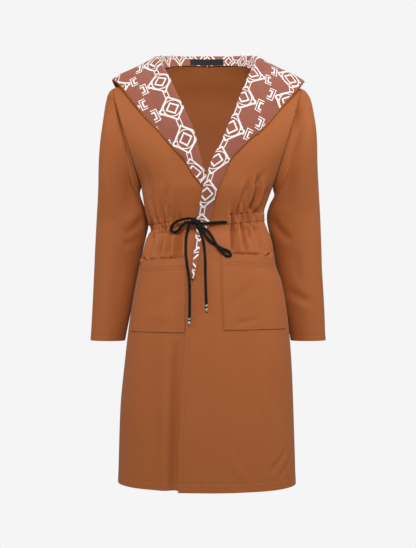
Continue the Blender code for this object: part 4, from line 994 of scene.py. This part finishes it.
class Wire:
    """A shader socket that Python's operators work on. Numbers alone stay in Python."""

    def __init__(self, tree, socket=None):
        self.tree = tree
        self.socket = socket

    def node(self, kind, settings, inputs, output=0):
        made = self.tree.nodes.new(kind)
        for name, value in settings.items():
            setattr(made, name, value)
        for name, value in inputs.items():
            if isinstance(value, Wire):
                self.tree.links.new(value.socket, made.inputs[name])
            else:
                made.inputs[name].default_value = value
        return Wire(self.tree, made.outputs[output])

    def math(self, operation, *values):
        return self.node("ShaderNodeMath", {"operation": operation}, dict(enumerate(values)))

    def __add__(self, other):
        return self.math("ADD", self, other)

    __radd__ = __add__

    def __sub__(self, other):
        return self.math("SUBTRACT", self, other)

    def __rsub__(self, other):
        return self.math("SUBTRACT", other, self)

    def __mul__(self, other):
        return self.math("MULTIPLY", self, other)

    __rmul__ = __mul__

    def __truediv__(self, other):
        return self.math("DIVIDE", self, other)

    def __mod__(self, other):
        return self.math("FLOORED_MODULO", self, other)

    def __abs__(self):
        return self.math("ABSOLUTE", self)

    def sine(self):
        return self.math("SINE", self)

    def floor(self):
        return self.math("FLOOR", self)

    def root(self):
        return self.math("SQRT", self)

    def most(self, other):
        return self.math("MAXIMUM", self, other)

    def below(self, edge, soft):
        """1 under edge, 0 over it, and smooth between."""
        inputs = {0: self, 1: edge - soft, 2: edge + soft, 3: 1.0, 4: 0.0}
        return self.node("ShaderNodeMapRange", {"interpolation_type": "SMOOTHSTEP"}, inputs)

    def blend(self, first, second):
        """Colour that goes from first to second as this value goes from 0 to 1."""
        return self.node("ShaderNodeMix", {"data_type": "RGBA"}, {0: self, 6: first, 7: second}, 2)


def new_finish(name, **sockets):
    """Material, its shader and a wire to start from. The constants go on the shader's own sockets."""
    made = bpy.data.materials.new(name)
    made.use_nodes = True
    shader = made.node_tree.nodes["Principled BSDF"]
    for socket, value in sockets.items():
        shader.inputs[socket.replace("_", " ")].default_value = value
    return made, shader, Wire(made.node_tree)


def feed(shader, socket, wire):
    wire.tree.links.new(wire.socket, shader.inputs[socket])


def object_spot(start):
    return start.node("ShaderNodeTexCoord", {}, {}, 3)


def places(start):
    """Object coordinates, and the two directions of the cloth in metres."""
    spot = object_spot(start)
    chart = start.node("ShaderNodeUVMap", {"uv_map": MAP}, {})
    apart = "ShaderNodeSeparateXYZ"
    return spot, start.node(apart, {}, {0: chart}, 0), start.node(apart, {}, {0: chart}, 1)


def noise(spot, scale, detail=2.0, rough=0.5):
    inputs = {"Vector": spot, "Scale": scale, "Detail": detail, "Roughness": rough}
    return spot.node("ShaderNodeTexNoise", {}, inputs)


def relief(shader, height, strength, distance):
    inputs = {"Strength": strength, "Distance": distance, "Height": height}
    feed(shader, "Normal", height.node("ShaderNodeBump", {}, inputs))


def black(wear, dark, light):
    """Near black, paler where the value is high: random grime, and painted shade across the ribs of cord
    and label.
    """
    return wear.blend((*dark, 1), (*light, 1))


def ribs_of(way, pitch):
    return (way * (2 * math.pi / pitch)).sine()


def twill_height(spot, u, v):
    """Steep fine ribs of a smooth twill, with the small unevenness of spun yarn."""
    ribs = ribs_of(u * 0.8 + v, TWILL)
    cross = ribs_of(v - u * 1.6, TWILL * 1.7)
    return ribs * 0.5 + cross * 0.2 + noise(spot, 1300, 2) * 1.2


def shell_cloth(name, dark, light):
    sheen = {"Sheen_Weight": 0.10, "Sheen_Roughness": 0.45}
    made, shader, start = new_finish(name, Specular_IOR_Level=0.22, **sheen)
    shader.inputs["Sheen Tint"].default_value = (1.0, 0.72, 0.52, 1)
    spot, u, v = places(start)
    clouds = noise(spot, 5.5, 3)
    slubs = noise(start.node("ShaderNodeCombineXYZ", {}, {0: u * 420.0, 1: v * 9.0, 2: 0.0}), 1.0, 2)
    tone = (clouds - 0.5) * 0.7 + (slubs - 0.5) * 0.5 + 0.5
    feed(shader, "Base Color", tone.blend(dark, light))
    feed(shader, "Roughness", 0.62 + noise(spot, 60, 2) * 0.16)
    relief(shader, twill_height(spot, u, v), 0.35, 0.00012)
    return made


def ink_lines(u, v):
    """Trellis of crossed lozenges, rings and small squares in the print's two line widths."""
    lift = ((u / PRINT_WIDE).floor() % 2.0) * (PRINT_HIGH / 2)
    a = (u % PRINT_WIDE) - PRINT_WIDE / 2
    b = ((v + lift) % PRINT_HIGH) - PRINT_HIGH / 2
    far_a, far_b = abs(a), abs(b)
    lozenge = far_a + far_b
    square = abs(far_a - PRINT_WIDE / 2).most(far_b)

    def line(distance, wide):
        return abs(distance).below(wide / 2, 0.00035)

    ink = line((a * a + b * b).root() - RING_RADIUS, THIN_LINE)
    for half in LOZENGES:
        ink = ink.most(line((lozenge - half) * SLANT, BOLD_LINE))
    for half, wide in SQUARES:
        ink = ink.most(line(square - half, wide))
    bars = line(far_a - BRACKET, THIN_LINE) * (PRINT_HIGH / 2 - far_b).below(BAR_LONG, 0.0003)
    between = (far_a - ARM_TO).below(0.0, 0.0002) * (ARM_FROM - far_a).below(0.0, 0.0002)
    arms = line(far_b - BRACKET, THIN_LINE) * between
    return ink.most(bars).most(arms)


def print_cloth(name, dark, light, ink):
    sheen = {"Sheen_Weight": 0.15, "Sheen_Roughness": 0.5}
    made, shader, start = new_finish(name, Specular_IOR_Level=0.22, **sheen)
    spot, u, v = places(start)
    tone = (noise(spot, 6.0, 3) - 0.5) * 0.6 + (noise(spot, 700, 1) - 0.5) * 0.5 + 0.5
    lines = ink_lines(u, v) * (1.0 - noise(spot, 900, 1) * 0.12)
    feed(shader, "Base Color", lines.blend(tone.blend(dark, light), ink))
    feed(shader, "Roughness", 0.80 - lines * 0.14)
    relief(shader, twill_height(spot, u, v) + lines * 0.5, 0.3, 0.00012)
    return made


def braid_cord(name):
    """Black cord with the crossed ribs of a fine braid. The map goes round the cord, then along it."""
    made, shader, start = new_finish(name, Specular_IOR_Level=0.12, Sheen_Weight=0.02)
    spot, u, v = places(start)
    ribs = ribs_of(u * 2.0 + v, BRAID) * ribs_of(u * 2.0 - v, BRAID)
    # Painted shade: the braid's colour follows its ribs, darker in their grooves and paler on their
    # crests, with random tone from the noise.
    tone = ribs * 0.35 + noise(spot, 500, 2) * 0.4 + 0.3
    feed(shader, "Base Color", black(tone, (0.0015, 0.0018, 0.0018), (0.011, 0.012, 0.012)))
    feed(shader, "Roughness", 0.60 + noise(spot, 300, 1) * 0.15)
    relief(shader, ribs + noise(spot, 900, 1) * 0.4, 0.7, 0.0003)
    return made


def label_tape(name):
    made, shader, start = new_finish(name, Specular_IOR_Level=0.35)
    spot, u, v = places(start)
    ribs = ribs_of(u, LABEL_RIBS[0]) * ribs_of(v, LABEL_RIBS[1])
    in_from_edge = LABEL_HIGH / 2 - abs(v - LABEL_HIGH / 2)
    woven = ribs * 0.3 + 0.4 + in_from_edge.below(LABEL_EDGE, 0.0002) * 0.3
    # Painted shade: the tape's colour follows its ribs, darker in their grooves and paler on their
    # crests. It is also paler along its two long edges.
    feed(shader, "Base Color", black(woven, (0.004, 0.004, 0.005), (0.016, 0.016, 0.017)))
    feed(shader, "Roughness", 0.5 + noise(spot, 200, 1) * 0.15)
    relief(shader, ribs, 0.4, 0.0001)
    return made


def tip_metal(name):
    made, shader, start = new_finish(name, Metallic=1.0)
    wear = noise(object_spot(start), 900, 3)
    feed(shader, "Base Color", wear.blend((0.62, 0.61, 0.59, 1), (0.86, 0.86, 0.85, 1)))
    feed(shader, "Roughness", 0.16 + wear * 0.18)
    return made


def tip_band(name):
    made, shader, start = new_finish(name, Specular_IOR_Level=0.5)
    grime = noise(object_spot(start), 700, 2)
    feed(shader, "Base Color", black(grime, (0.006, 0.006, 0.007), (0.016, 0.016, 0.017)))
    feed(shader, "Roughness", 0.32 + grime * 0.2)
    return made


def thread(name):
    made, shader, start = new_finish(name, Specular_IOR_Level=0.3)
    twist = noise(object_spot(start), 1500, 1)
    feed(shader, "Base Color", twist.blend((0.200, 0.062, 0.020, 1), (0.300, 0.098, 0.034, 1)))
    feed(shader, "Roughness", 0.55 + twist * 0.2)
    return made


# Camera, light and floor
def make_camera():
    bpy.ops.object.camera_add(location=CAMERA_PLACE, rotation=(math.radians(90), 0, 0))
    camera = bpy.context.object
    camera.data.lens = LENS
    camera.data.sensor_width = SENSOR
    bpy.context.scene.camera = camera


def make_lights():
    for row in LIGHTS:
        bpy.ops.object.light_add(type="AREA", location=row.place)
        light = bpy.context.object
        light.name = row.name
        way = Vector(row.aim) - Vector(row.place)
        light.rotation_euler = way.to_track_quat("-Z", "Y").to_euler()
        light.data.shape = "RECTANGLE"
        light.data.size, light.data.size_y = row.size
        light.data.energy = row.watts


def make_world():
    """Pale backdrop seen by the camera, and a softer even light on the coat."""
    world = bpy.data.worlds.new("studio")
    world.use_nodes = True
    bpy.context.scene.world = world
    tree = world.node_tree
    tree.nodes.clear()
    out = tree.nodes.new("ShaderNodeOutputWorld")
    mix = tree.nodes.new("ShaderNodeMixShader")
    path = tree.nodes.new("ShaderNodeLightPath")
    for slot, (shade, strength) in enumerate(((FILL_SHADE, FILL_LIGHT), (BACKDROP, 1.0))):
        back = tree.nodes.new("ShaderNodeBackground")
        back.inputs["Color"].default_value = (shade, shade, shade, 1)
        back.inputs["Strength"].default_value = strength
        tree.links.new(back.outputs[0], mix.inputs[1 + slot])
    tree.links.new(path.outputs["Is Camera Ray"], mix.inputs[0])
    tree.links.new(mix.outputs[0], out.inputs["Surface"])


def make_floor():
    """Pale paper that runs out as far as the camera sees, as bright as the backdrop."""
    bpy.ops.mesh.primitive_circle_add(vertices=96, radius=FLOOR_RADIUS, fill_type="NGON",
                                      location=(0, 0, FLOOR_Z))
    floor = bpy.context.object
    floor.name = "floor"
    paper, shader, start = new_finish("paper", Roughness=0.9)
    pale = (BACKDROP, BACKDROP, BACKDROP, 1)
    glow = start.node("ShaderNodeEmission", {}, {"Color": pale, "Strength": 1.0})
    start.tree.links.new(glow.socket, start.tree.nodes["Material Output"].inputs["Surface"])
    start.tree.nodes.remove(shader)
    floor.data.materials.append(paper)
    floor.visible_diffuse = False
    floor.visible_glossy = False


# Cords
def before_coat(x, z, ahead):
    return (x, float(surface_y(x, z, FRONT)) - ahead - CORD_LIFT, z)


def cord_line(route, step):
    """Smooth line through a route's points, in even steps."""
    spots = np.array([before_coat(*row) for row in route])
    knots = run_along(spots)
    count = max(4, int(round(knots[-1] / step)) + 1)
    return round_curve(knots, spots, np.linspace(0, knots[-1], count))


def tube(line, radius, sides=16):
    """Points, faces and map of a round closed tube, whose sections keep their turn along the line."""
    along = np.gradient(line, axis=0)
    along /= np.linalg.norm(along, axis=1, keepdims=True)
    across = np.cross(along[0], (0, 1, 0) if abs(along[0][1]) < 0.9 else (1, 0, 0))
    points, faces, maps = [], [], []
    far = run_along(line)
    turns = np.linspace(0, 2 * math.pi, sides, endpoint=False)
    for spot, way in zip(line, along):
        across = across - way * np.dot(across, way)
        across /= np.linalg.norm(across)
        up = np.cross(way, across)
        points += [spot + radius * (across * math.cos(t) + up * math.sin(t)) for t in turns]
    round_step = 2 * math.pi * radius / sides
    for r in range(len(line) - 1):
        for k in range(sides):
            a, b = r * sides + k, r * sides + (k + 1) % sides
            faces.append((a, b, b + sides, a + sides))
            u, w = k * round_step, (k + 1) * round_step
            maps += [(u, far[r]), (w, far[r]), (w, far[r + 1]), (u, far[r + 1])]
    base = len(points)
    points += [line[0], line[-1]]
    last = (len(line) - 1) * sides
    for k in range(sides):
        b = (k + 1) % sides
        faces.append((base, b, k))
        faces.append((base + 1, last + k, last + b))
        maps += [(0, 0)] * 3 + [(0, far[-1])] * 3
    return points, faces, maps


def add_tubes(name, lines):
    """One piece of cord, with a tube along each line."""
    points, faces, maps = [], [], []
    for line in lines:
        more, around, chart = tube(line, CORD_FULL * CORD / 2)
        faces += [tuple(k + len(points) for k in face) for face in around]
        points += more
        maps += chart
    return add_mesh(name, points, faces, FINISHES["cord"], maps, CORD_SHARP)


def ring_line(middle, way, lean, radius):
    """Turn of the cord about the knot's own line, almost a whole one."""
    way = np.array(way) / np.linalg.norm(way)
    first = np.cross(way, (0.0, -1.0, lean))
    first /= np.linalg.norm(first)
    second = np.cross(way, first)
    second *= TURN_FLAT
    turns = np.linspace(0, 2 * math.pi * TURN_CLOSED, TURN_POINTS)
    return np.array([middle + radius * (first * math.cos(t) + second * math.sin(t)) for t in turns])


def make_tip(name, cord_node):
    """Cord tip turned as one piece: collar, black waist and a rounded end, extruded ring by ring."""
    before, end = cord_line(CORDS[cord_node], CORD_STEP)[-2:]
    way = (end - before) / np.linalg.norm(end - before)
    bpy.ops.object.select_all(action="DESELECT")
    bpy.ops.mesh.primitive_circle_add(vertices=TIP_SIDES, radius=TIP_TURNS[0][1], fill_type="NGON")
    tip = bpy.context.object
    tip.name = name
    bpy.ops.object.mode_set(mode="EDIT")
    bpy.ops.mesh.select_all(action="SELECT")
    far, wide = TIP_TURNS[0]
    for next_far, next_wide in TIP_TURNS[1:]:
        bpy.ops.mesh.extrude_region_move(TRANSFORM_OT_translate={"value": (0, 0, next_far - far)})
        grow = next_wide / wide
        bpy.ops.transform.resize(value=(grow, grow, 1), center_override=(0, 0, next_far))
        far, wide = next_far, next_wide
    bpy.ops.mesh.select_all(action="SELECT")
    bpy.ops.mesh.normals_make_consistent(inside=False)
    bpy.ops.object.mode_set(mode="OBJECT")
    tip.data.materials.append(FINISHES["metal"])
    tip.data.materials.append(FINISHES["band"])
    for face in tip.data.polygons:
        face.material_index = 1 if BAND_FROM < face.center.z < BAND_TO else 0
    bevel = tip.modifiers.new("edge", "BEVEL")
    bevel.width, bevel.segments, bevel.limit_method = TIP_BEVEL, 2, "ANGLE"
    bpy.ops.object.modifier_apply(modifier="edge")
    bpy.ops.object.shade_smooth_by_angle(angle=math.radians(TIP_SHARP))
    start = Vector(end + way * LAYER_GAP)
    turn = Vector(way).to_track_quat("Z", "Y").to_matrix().to_4x4()
    tip.data.transform(Matrix.Translation(start) @ turn)
    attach(tip, "root")
    return tip


def make_cords():
    lines, pieces, tips = {}, {}, {}
    for name, route in CORDS.items():
        lines[name] = cord_line(route, BRAID_STEP)
        pieces[name] = add_tubes(name + "_braid", [lines[name]])
        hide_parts(name)
    middle = np.array([before_coat(*row) for row in KNOT])
    ways = np.gradient(middle, axis=0)
    strands = [cord_line(route, BRAID_STEP) for route in KNOT_STRANDS]
    for k, lift, lean, radius in KNOT_TURNS:
        strands.append(ring_line(middle[k] + (0, 0, lift), ways[k], lean, radius))
    bow = add_tubes("bow_knot", strands)
    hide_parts("cord_knot")
    for name in ("tip_left", "tip_right"):
        tips[name] = make_tip(name + "_turned", name.replace("tip", "cord_end"))
        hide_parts(name)


# Cloth
def front_shares():
    """Columns of a front: close together at its edge, then even."""
    strip = EDGE_STRIP / FRONT_WIDE
    return joined((0, strip, EDGE_COLUMNS), (strip, 1, FRONT_COLUMNS))


def make_front(side, name):
    """A front with its hem, its stitched edge below the lapel and the drawcord's channel."""
    grid = panel_grid(side, FRONT, front_shares())
    turn = normals(grid) * side
    up, in_from_edge = lengths(grid, 0), lengths(grid, 1)
    from_hem = up[-1] - up
    x, z = grid[..., 0], grid[..., 2]
    depth = stitched(from_hem, in_from_edge, HEM_DEEP[side], SEEDS["hem"] + side)
    plain = ease(*(ROLL_END_Z[side] + k for k in PLAIN_EASE), z)
    seed = SEEDS["edge"] + side
    depth += plain * stitched(in_from_edge, from_hem, FRONT_STITCH, seed, EDGE_PUCKER)
    above = z - (WAIST_Z + WAIST_RISE * x / half_width(z, side))
    rows_off = np.abs(above) - CHANNEL_HALF
    grooves = CHANNEL_GROOVE * np.exp(-(rows_off / CHANNEL_GROOVE_HALF) ** 2)
    channel = ease(CHANNEL_FROM, CHANNEL_FROM + CHANNEL_EASE, np.abs(x))
    depth += channel * (grooves - CHANNEL_PROUD * ease(*CHANNEL_PROUD_EASE, rows_off))
    grid = grid - turn * depth[..., None]
    turn = normals(grid) * side
    piece = add_wall(name + "_cloth", grid[::side], FINISHES["shell"])
    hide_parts(name)
    hem = line_on(grid, turn, from_hem, HEM_DEEP[side], 0, CLOTH / 2)
    far = np.abs(grid[len(grid) // 2, :, 0]) > CHANNEL_FROM
    casing = [line_on(grid[:, far], turn[:, far], above[:, far], deep, 0, CLOTH / 2)
              for deep in (-CHANNEL_HALF, CHANNEL_HALF)]
    free = grid[:, 0, 2] < ROLL_END_Z[side] - STITCHES_BELOW
    edge = line_on(grid[free], turn[free], in_from_edge[free], FRONT_STITCH, 1, CLOTH / 2)
    return piece, [hem, edge, *casing]


def make_back():
    """The back in one piece, with its hem."""
    shares = np.linspace(0, 1, BACK_COLUMNS)
    left, right = (panel_grid(side, BACK, shares) for side in (LEFT, RIGHT))
    grid = part_from_fronts(np.concatenate([left[:, :0:-1], right], axis=1))
    turn = -normals(grid)
    up, along = lengths(grid, 0), lengths(grid, 1)
    from_hem = up[-1] - up
    grid = grid - turn * stitched(from_hem, along, HEM_DEEP[RIGHT], SEEDS["back"])[..., None]
    piece = add_wall("back_cloth", grid[::-1], FINISHES["shell"])
    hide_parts("back")
    return piece, [line_on(grid, turn, from_hem, HEM_DEEP[RIGHT], 0, CLOTH / 2)]


def part_from_fronts(grid):
    """Keeps the seams open: the side and shoulder edges are drawn back along the cloth."""
    apart = grid.copy()
    side_seam = grid[:, 0, 2] < PIT_Z + PIT_SLACK
    moves = SIDE_GAP * np.linspace(1, 0, GAP_ROWS + 1)[:-1]
    for edge, step in ((0, 1), (-1, -1)):
        way = grid[:, edge + step * GAP_WAY] - grid[:, edge]
        way /= np.linalg.norm(way, axis=1, keepdims=True)
        for k, move in enumerate(moves):
            apart[side_seam, edge + step * k] += way[side_seam] * move
    outside = np.abs(grid[0, :, 0]) > NECK_X - NECK_SLACK
    way = grid[GAP_WAY] - grid[0]
    way /= np.linalg.norm(way, axis=1, keepdims=True)
    for k, move in enumerate(moves):
        apart[k, outside] += way[outside] * move
    return apart


def armhole_y(c, s):
    """Depth of the armhole's own edge, at the turns round it whose cosine and sine are c and s."""
    z = (SHOULDER_Z + PIT_Z) / 2 + c * (SHOULDER_Z - PIT_Z) / 2
    return np.where(s >= 0, surface_y(armhole_x(z), z, FRONT), surface_y(armhole_x(z), z, BACK))


def sleeve_rings(side, c, s):
    """Smooth rings from the armhole to the cuff, kept off the armhole's edge by the seam's gap."""
    table = SLEEVES[side]
    last = len(table) - 1
    at = joined((0, last - CUFF_SHARE, SLEEVE_RINGS), (last - CUFF_SHARE, last, CUFF_RINGS))
    slope = np.array([SHOULDER_X - PIT_X, SHOULDER_Z - PIT_Z])
    away_x, away_z = np.array([slope[1], -slope[0]]) / np.linalg.norm(slope)
    gap = SEAM_GAP + (1 - c) / 2 * PIT_GAP
    face = np.where(s >= 0, FRONT, BACK)
    hole = armhole_y(c, s)
    rows = []
    for values in round_curve(np.arange(len(table)), table, at):
        row = Ring(*values)
        x = (row.out_x + row.in_x) / 2 + c * (row.out_x - row.in_x) / 2
        z = (row.out_z + row.in_z) / 2 + c * (row.out_z - row.in_z) / 2
        y = (row.middle_y + face * row.half_depth * np.abs(s)) * row.smooth + hole * (1 - row.smooth)
        rows.append(np.stack([side * (x + away_x * gap), y, z + away_z * gap], axis=1))
    return np.array(rows)


def sleeve_grid(side):
    """Grid of a sleeve with its folds, the normals it had before them, and the way from the cuff."""
    turns = np.linspace(0, 2 * math.pi, SLEEVE_ROUND, endpoint=False)
    c, s = np.cos(turns), np.sin(turns)
    grid = sleeve_rings(side, c, s)
    turn = normals(grid, ring=True)
    outward = grid - grid.mean(axis=1, keepdims=True)
    turn *= np.sign((turn * outward).sum(axis=2, keepdims=True).mean())
    x, z = np.abs(grid[..., 0]), grid[..., 2]
    down, around = lengths(grid, 0), lengths(grid, 1)
    from_cuff = down[-1] - down
    folds = sum(crease_depth(SLEEVE_CREASES[side][face], x, z) * np.clip(-face * s * SIDE_BLEND, 0, 1)
                for face in (FRONT, BACK))
    seam = ease(0.0, SEAM_EASE, down)
    depth = folds * ease(0.0, FOLD_EASE, down)
    depth += stitched(from_cuff, around, CUFF_DEEP, SEEDS["cuff"] + side)
    puckers = uneven(around, SEEDS["head"] + side) * np.exp(-(down / HEAD_REACH) ** 2)
    depth += SEAM_PUCKER * seam * puckers
    fullness = np.exp(-((down - HEAD_REACH) / HEAD_REACH) ** 2) * np.clip(c, 0, 1)
    depth -= HEAD_EASE * seam * fullness
    return grid - turn * depth[..., None], turn, from_cuff


def make_sleeve(side, name):
    grid, turn, from_cuff = sleeve_grid(side)
    piece = add_wall(name + "_cloth", grid[::side], FINISHES["shell"], ring=True)
    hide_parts(name)
    whole, ways, far = (np.concatenate([v, v[:, :1]], axis=1) for v in (grid, turn, from_cuff))
    return piece, [line_on(whole, ways, far, CUFF_DEEP, 0, CLOTH / 2)]


def lapel_section(side, row):
    """Points of a lapel, from the neck seam on the panel over the roll to the outer edge."""
    seam_z = row.roll_z - row.seam_drop
    seam_x = side * (float(edge_out(side, seam_z)) - ROLL_GAP)
    points = [(seam_x, float(front_y(side, seam_x, seam_z)), seam_z)]
    turned = min(ROLL_WIDTH / (row.edge_x - row.roll_x), ROLL_SHARE)
    for share in (0.0, turned, *(turned + (1 - turned) * s for s in FLAP_SHARES)):
        ahead = row.over_ahead * (1 - share) + row.edge_ahead * share
        ahead += row.puff * math.sin(math.pi * share)
        if share == 0.0:
            ahead = row.roll_ahead
        x = side * (row.roll_x * (1 - share) + row.edge_x * share)
        z = row.roll_z * (1 - share) + row.edge_z * share
        base = float(front_y(side, x, z)) if z < float(shoulder_z(x)) else 0.0
        points.append((x, base - ahead, z))
    return points


def hood_sections(side):
    back = [[(side * x, y, z) for x, y, z in section] for section in HOOD_BACK]
    for section in back:
        x = section[0][0]
        z = float(column(BACK_NECK, "z", abs(x)))
        section[0] = (x, float(surface_y(x, z, BACK)), z + NECK_SEAM_GAP)
    tip = [(side * x, y, z) for x, y, z in SHOULDER_TIP[side]]
    return np.array([*back, tip, *(lapel_section(side, row) for row in LAPELS[side])])


def hood_surface(side, rounds, overs):
    """Middle surface of the hood and lapel. rounds counts sections from the middle back, and overs
    counts each section's points from the neck seam, both with fractions between them."""
    sections = hood_sections(side)
    spots = np.arange(len(sections))
    swept = np.stack([round_curve(spots, sections[:, k], rounds) for k in range(POINTS)], axis=1)
    rows = []
    for profile in swept:
        span = np.sqrt(np.linalg.norm(np.diff(profile, axis=0), axis=1))
        knots = np.concatenate([[0.0], np.cumsum(span)])
        rows.append(round_curve(knots, profile, np.interp(overs, np.arange(POINTS), knots)))
    return np.array(rows)


def trim(grid, more):
    """The same surface with its outer edge moved out by more, or in where more is negative."""
    far = lengths(grid, 1)
    rows = []
    for points, reach in zip(grid, far):
        want = reach / reach[-1] * (reach[-1] + more)
        beyond = (points[-1] - points[-2]) / max(reach[-1] - reach[-2], 1e-9)
        row = np.stack([np.interp(want, reach, points[:, j]) for j in range(3)], axis=1)
        over = np.maximum(want - reach[-1], 0)[:, None]
        rows.append(row + over * beyond)
    return np.array(rows)


def hood_folds(side, grid, overs):
    """Depth of the pouch's folds on both its sides, those of the stand, and the face edge's waves."""
    x, z = np.abs(grid[..., 0]), grid[..., 2]
    depth = crease_depth(POUCH_CREASES, x, z) * ease(*OUTER_FOLDS, overs)
    inner = ease(*INNER_FOLDS, overs) * ease(*INNER_FOLDS_END, overs)
    depth -= INNER_FOLD * crease_depth(POUCH_CREASES, x + INNER_SHIFT, z) * inner
    stand = ease(*STAND_FOLDS, overs) * ease(*STAND_FOLDS_END, overs)
    depth += crease_depth(STAND_CREASES, x, z) * stand
    around = lengths(grid, 0)[:, WAVE_COLUMN, None]
    waves = uneven(around * EDGE_WAVE_PITCH, SEEDS["hood"] + side)
    return depth + EDGE_WAVE * waves * ease(*EDGE_WAVES, overs)


def make_hood(side, name):
    """Shell and printed lining of one half of the hood, with its lapel."""
    end = len(HOOD_BACK) + len(LAPELS[side])
    rounds = joined((0, FINE_ROUND, FINE_STEPS), (FINE_ROUND, end, LAPEL_STEPS))
    overs = joined(*HOOD_OVERS)
    grid = hood_surface(side, rounds, overs)
    grid = grid - normals(grid) * side * hood_folds(side, grid, overs)[..., None]
    grid[0, :, 0] = side * SEAM_GAP / 2
    right, down = PRINT_SHIFT[side]
    across, along = lengths(grid, 1) + right, lengths(grid, 0)[:, PRINT_COLUMN, None] + down
    chart = np.stack(np.broadcast_arrays(across, along), 2)
    between = (CLOTH + LAYER_GAP) / 2
    shell = trim(grid, RIM_OUT)
    far = lengths(shell, 1)
    curl = RIM_CURL * ease(CURL_REACH, 0.0, far[:, -1:] - far)
    shell = shell + normals(shell) * side * curl[..., None]
    lining = trim(grid, -RIM_IN)
    out = add_wall("hood_" + name + "_cloth", shell[::side], FINISHES["shell"], shift=-between)
    inner = add_wall("lining_" + name + "_cloth", lining[::side], FINISHES["print"],
                     shift=between, chart=chart[::side])
    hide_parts("hood_" + name)
    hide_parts("lining_" + name)
    return out, inner


def make_pocket(side, name):
    """Patch on the front's own surface, gaping a little at its outer top corner."""
    row = POCKETS[side]
    out = np.linspace(0, 1, POCKET_COLUMNS)[None, :]
    down = (np.linspace(0, 1, POCKET_ROWS) ** MOUTH_CROWD)[:, None]
    top = row.top_in * (1 - out) + row.top_out * out + MOUTH_WAVE[side] * np.sin(2 * math.pi * out)
    z = top * (1 - down) + row.bottom * down
    inner = row.in_top * (1 - down) + row.in_bottom * down
    wide = half_width(z, side)
    low, high = np.arcsin(inner / wide), np.arcsin(1 - row.side_margin / wide)
    x = side * wide * np.sin(low + (high - low) * out)
    grid = np.stack([x, front_y(side, x, z), z], axis=2)
    turn = normals(grid) * side
    puff = POCKET_PUFF * np.sin(math.pi * out) * np.cos(math.pi / 2 * down)
    gape = MOUTH_GAPE * (1 - down) ** GAPE_FALL * np.sin(math.pi * out ** GAPE_LEAN) ** GAPE_ROUND
    corner = np.exp(-((out - CORNER_AT) / CORNER_WIDE) ** 2) * (1 - down) ** CORNER_FALL
    from_top, along = lengths(grid, 0), lengths(grid, 1)
    from_low, from_end = from_top[-1:] - from_top, along[:, -1:] - along
    depth = sum(stitched(from_top, along, deep, SEEDS["mouth"] * k + side, MOUTH_PUCKER)
                for k, deep in enumerate(POCKET_HEM))
    from_rim = np.minimum(np.minimum(along, from_end), from_low)
    depth += stitched(from_rim, along + from_top, POCKET_STITCH, SEEDS["pocket"], POCKET_PUCKER)
    depth += crease_depth(POCKET_CREASES[side], x, z)
    lift = CLOTH + POCKET_GAP + puff + gape + CORNER_GAPE * corner
    grid = grid + turn * (lift - np.minimum(depth, lift - CLOTH))[..., None]
    turn = normals(grid) * side
    piece = add_wall(name + "_cloth", grid[::side], FINISHES["shell"])
    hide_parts(name)
    rows = [(from_top, deep, 0) for deep in POCKET_HEM]
    rows += [(from_low, POCKET_STITCH, 0), (along, POCKET_STITCH, 1), (from_end, POCKET_STITCH, 1)]
    return piece, [line_on(grid, turn, far, deep, axis, CLOTH / 2) for far, deep, axis in rows]


def make_label():
    """Bare woven strip on the inner face of the hood's stand at the middle back."""
    wide, high = FLAT_LABEL
    reach = wide / 2 / HOOD_BACK[1][0][0]
    rounds = np.linspace(0, reach, LABEL_COLUMNS)
    low, top = HOOD_BACK[0][0][2], HOOD_BACK[0][1][2]
    foot, head = (LABEL_FOOT_Z - low) / (top - low), (LABEL_FOOT_Z + high - low) / (top - low)
    overs = np.linspace(foot, head, LABEL_ROWS)
    left = hood_surface(LEFT, rounds, overs)[::-1]
    right = hood_surface(RIGHT, rounds, overs)
    grid = np.concatenate([left[:-1], right])
    lift = CLOTH * 1.5 + LAYER_GAP * 1.5 + LABEL_CLOTH / 2
    chart = np.stack([lengths(grid, 0), lengths(grid, 1)], 2)
    piece = add_wall("label_tape", grid, FINISHES["label"],
                     shift=lift, thick=LABEL_CLOTH, chart=chart)
    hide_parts("label")
    return piece


def make_coat():
    pieces, seams = {}, {}
    pieces["back"], seams["hem_back"] = make_back()
    for side, name in ((LEFT, "left"), (RIGHT, "right")):
        pieces["front_" + name], seams["front_" + name] = make_front(side, "front_" + name)
        pieces["sleeve_" + name], seams["cuff_" + name] = make_sleeve(side, "sleeve_" + name)
        pieces["hood_" + name], pieces["lining_" + name] = make_hood(side, name)
        pieces["pocket_" + name], seams["pocket_" + name] = make_pocket(side, "pocket_" + name)
    pieces["label"] = make_label()
    for name, lines in seams.items():
        add_stitches("stitches_" + name, lines)


make_camera()
FINISHES = {
    "shell": shell_cloth("rust_twill", (0.320, 0.088, 0.0215, 1), (0.384, 0.114, 0.0300, 1)),
    "print": print_cloth("line_print", (0.246, 0.076, 0.047, 1), (0.300, 0.098, 0.063, 1),
                         (0.86, 0.84, 0.82, 1)),
    "cord": braid_cord("black_braid"),
    "label": label_tape("black_tape"),
    "metal": tip_metal("silver_tip"),
    "band": tip_band("tip_band"),
    "thread": thread("rust_thread"),
}
make_cords()
make_coat()
make_world()
make_floor()
make_lights()
scene = bpy.context.scene
scene.view_settings.view_transform = "Standard"
scene.view_settings.look = "None"
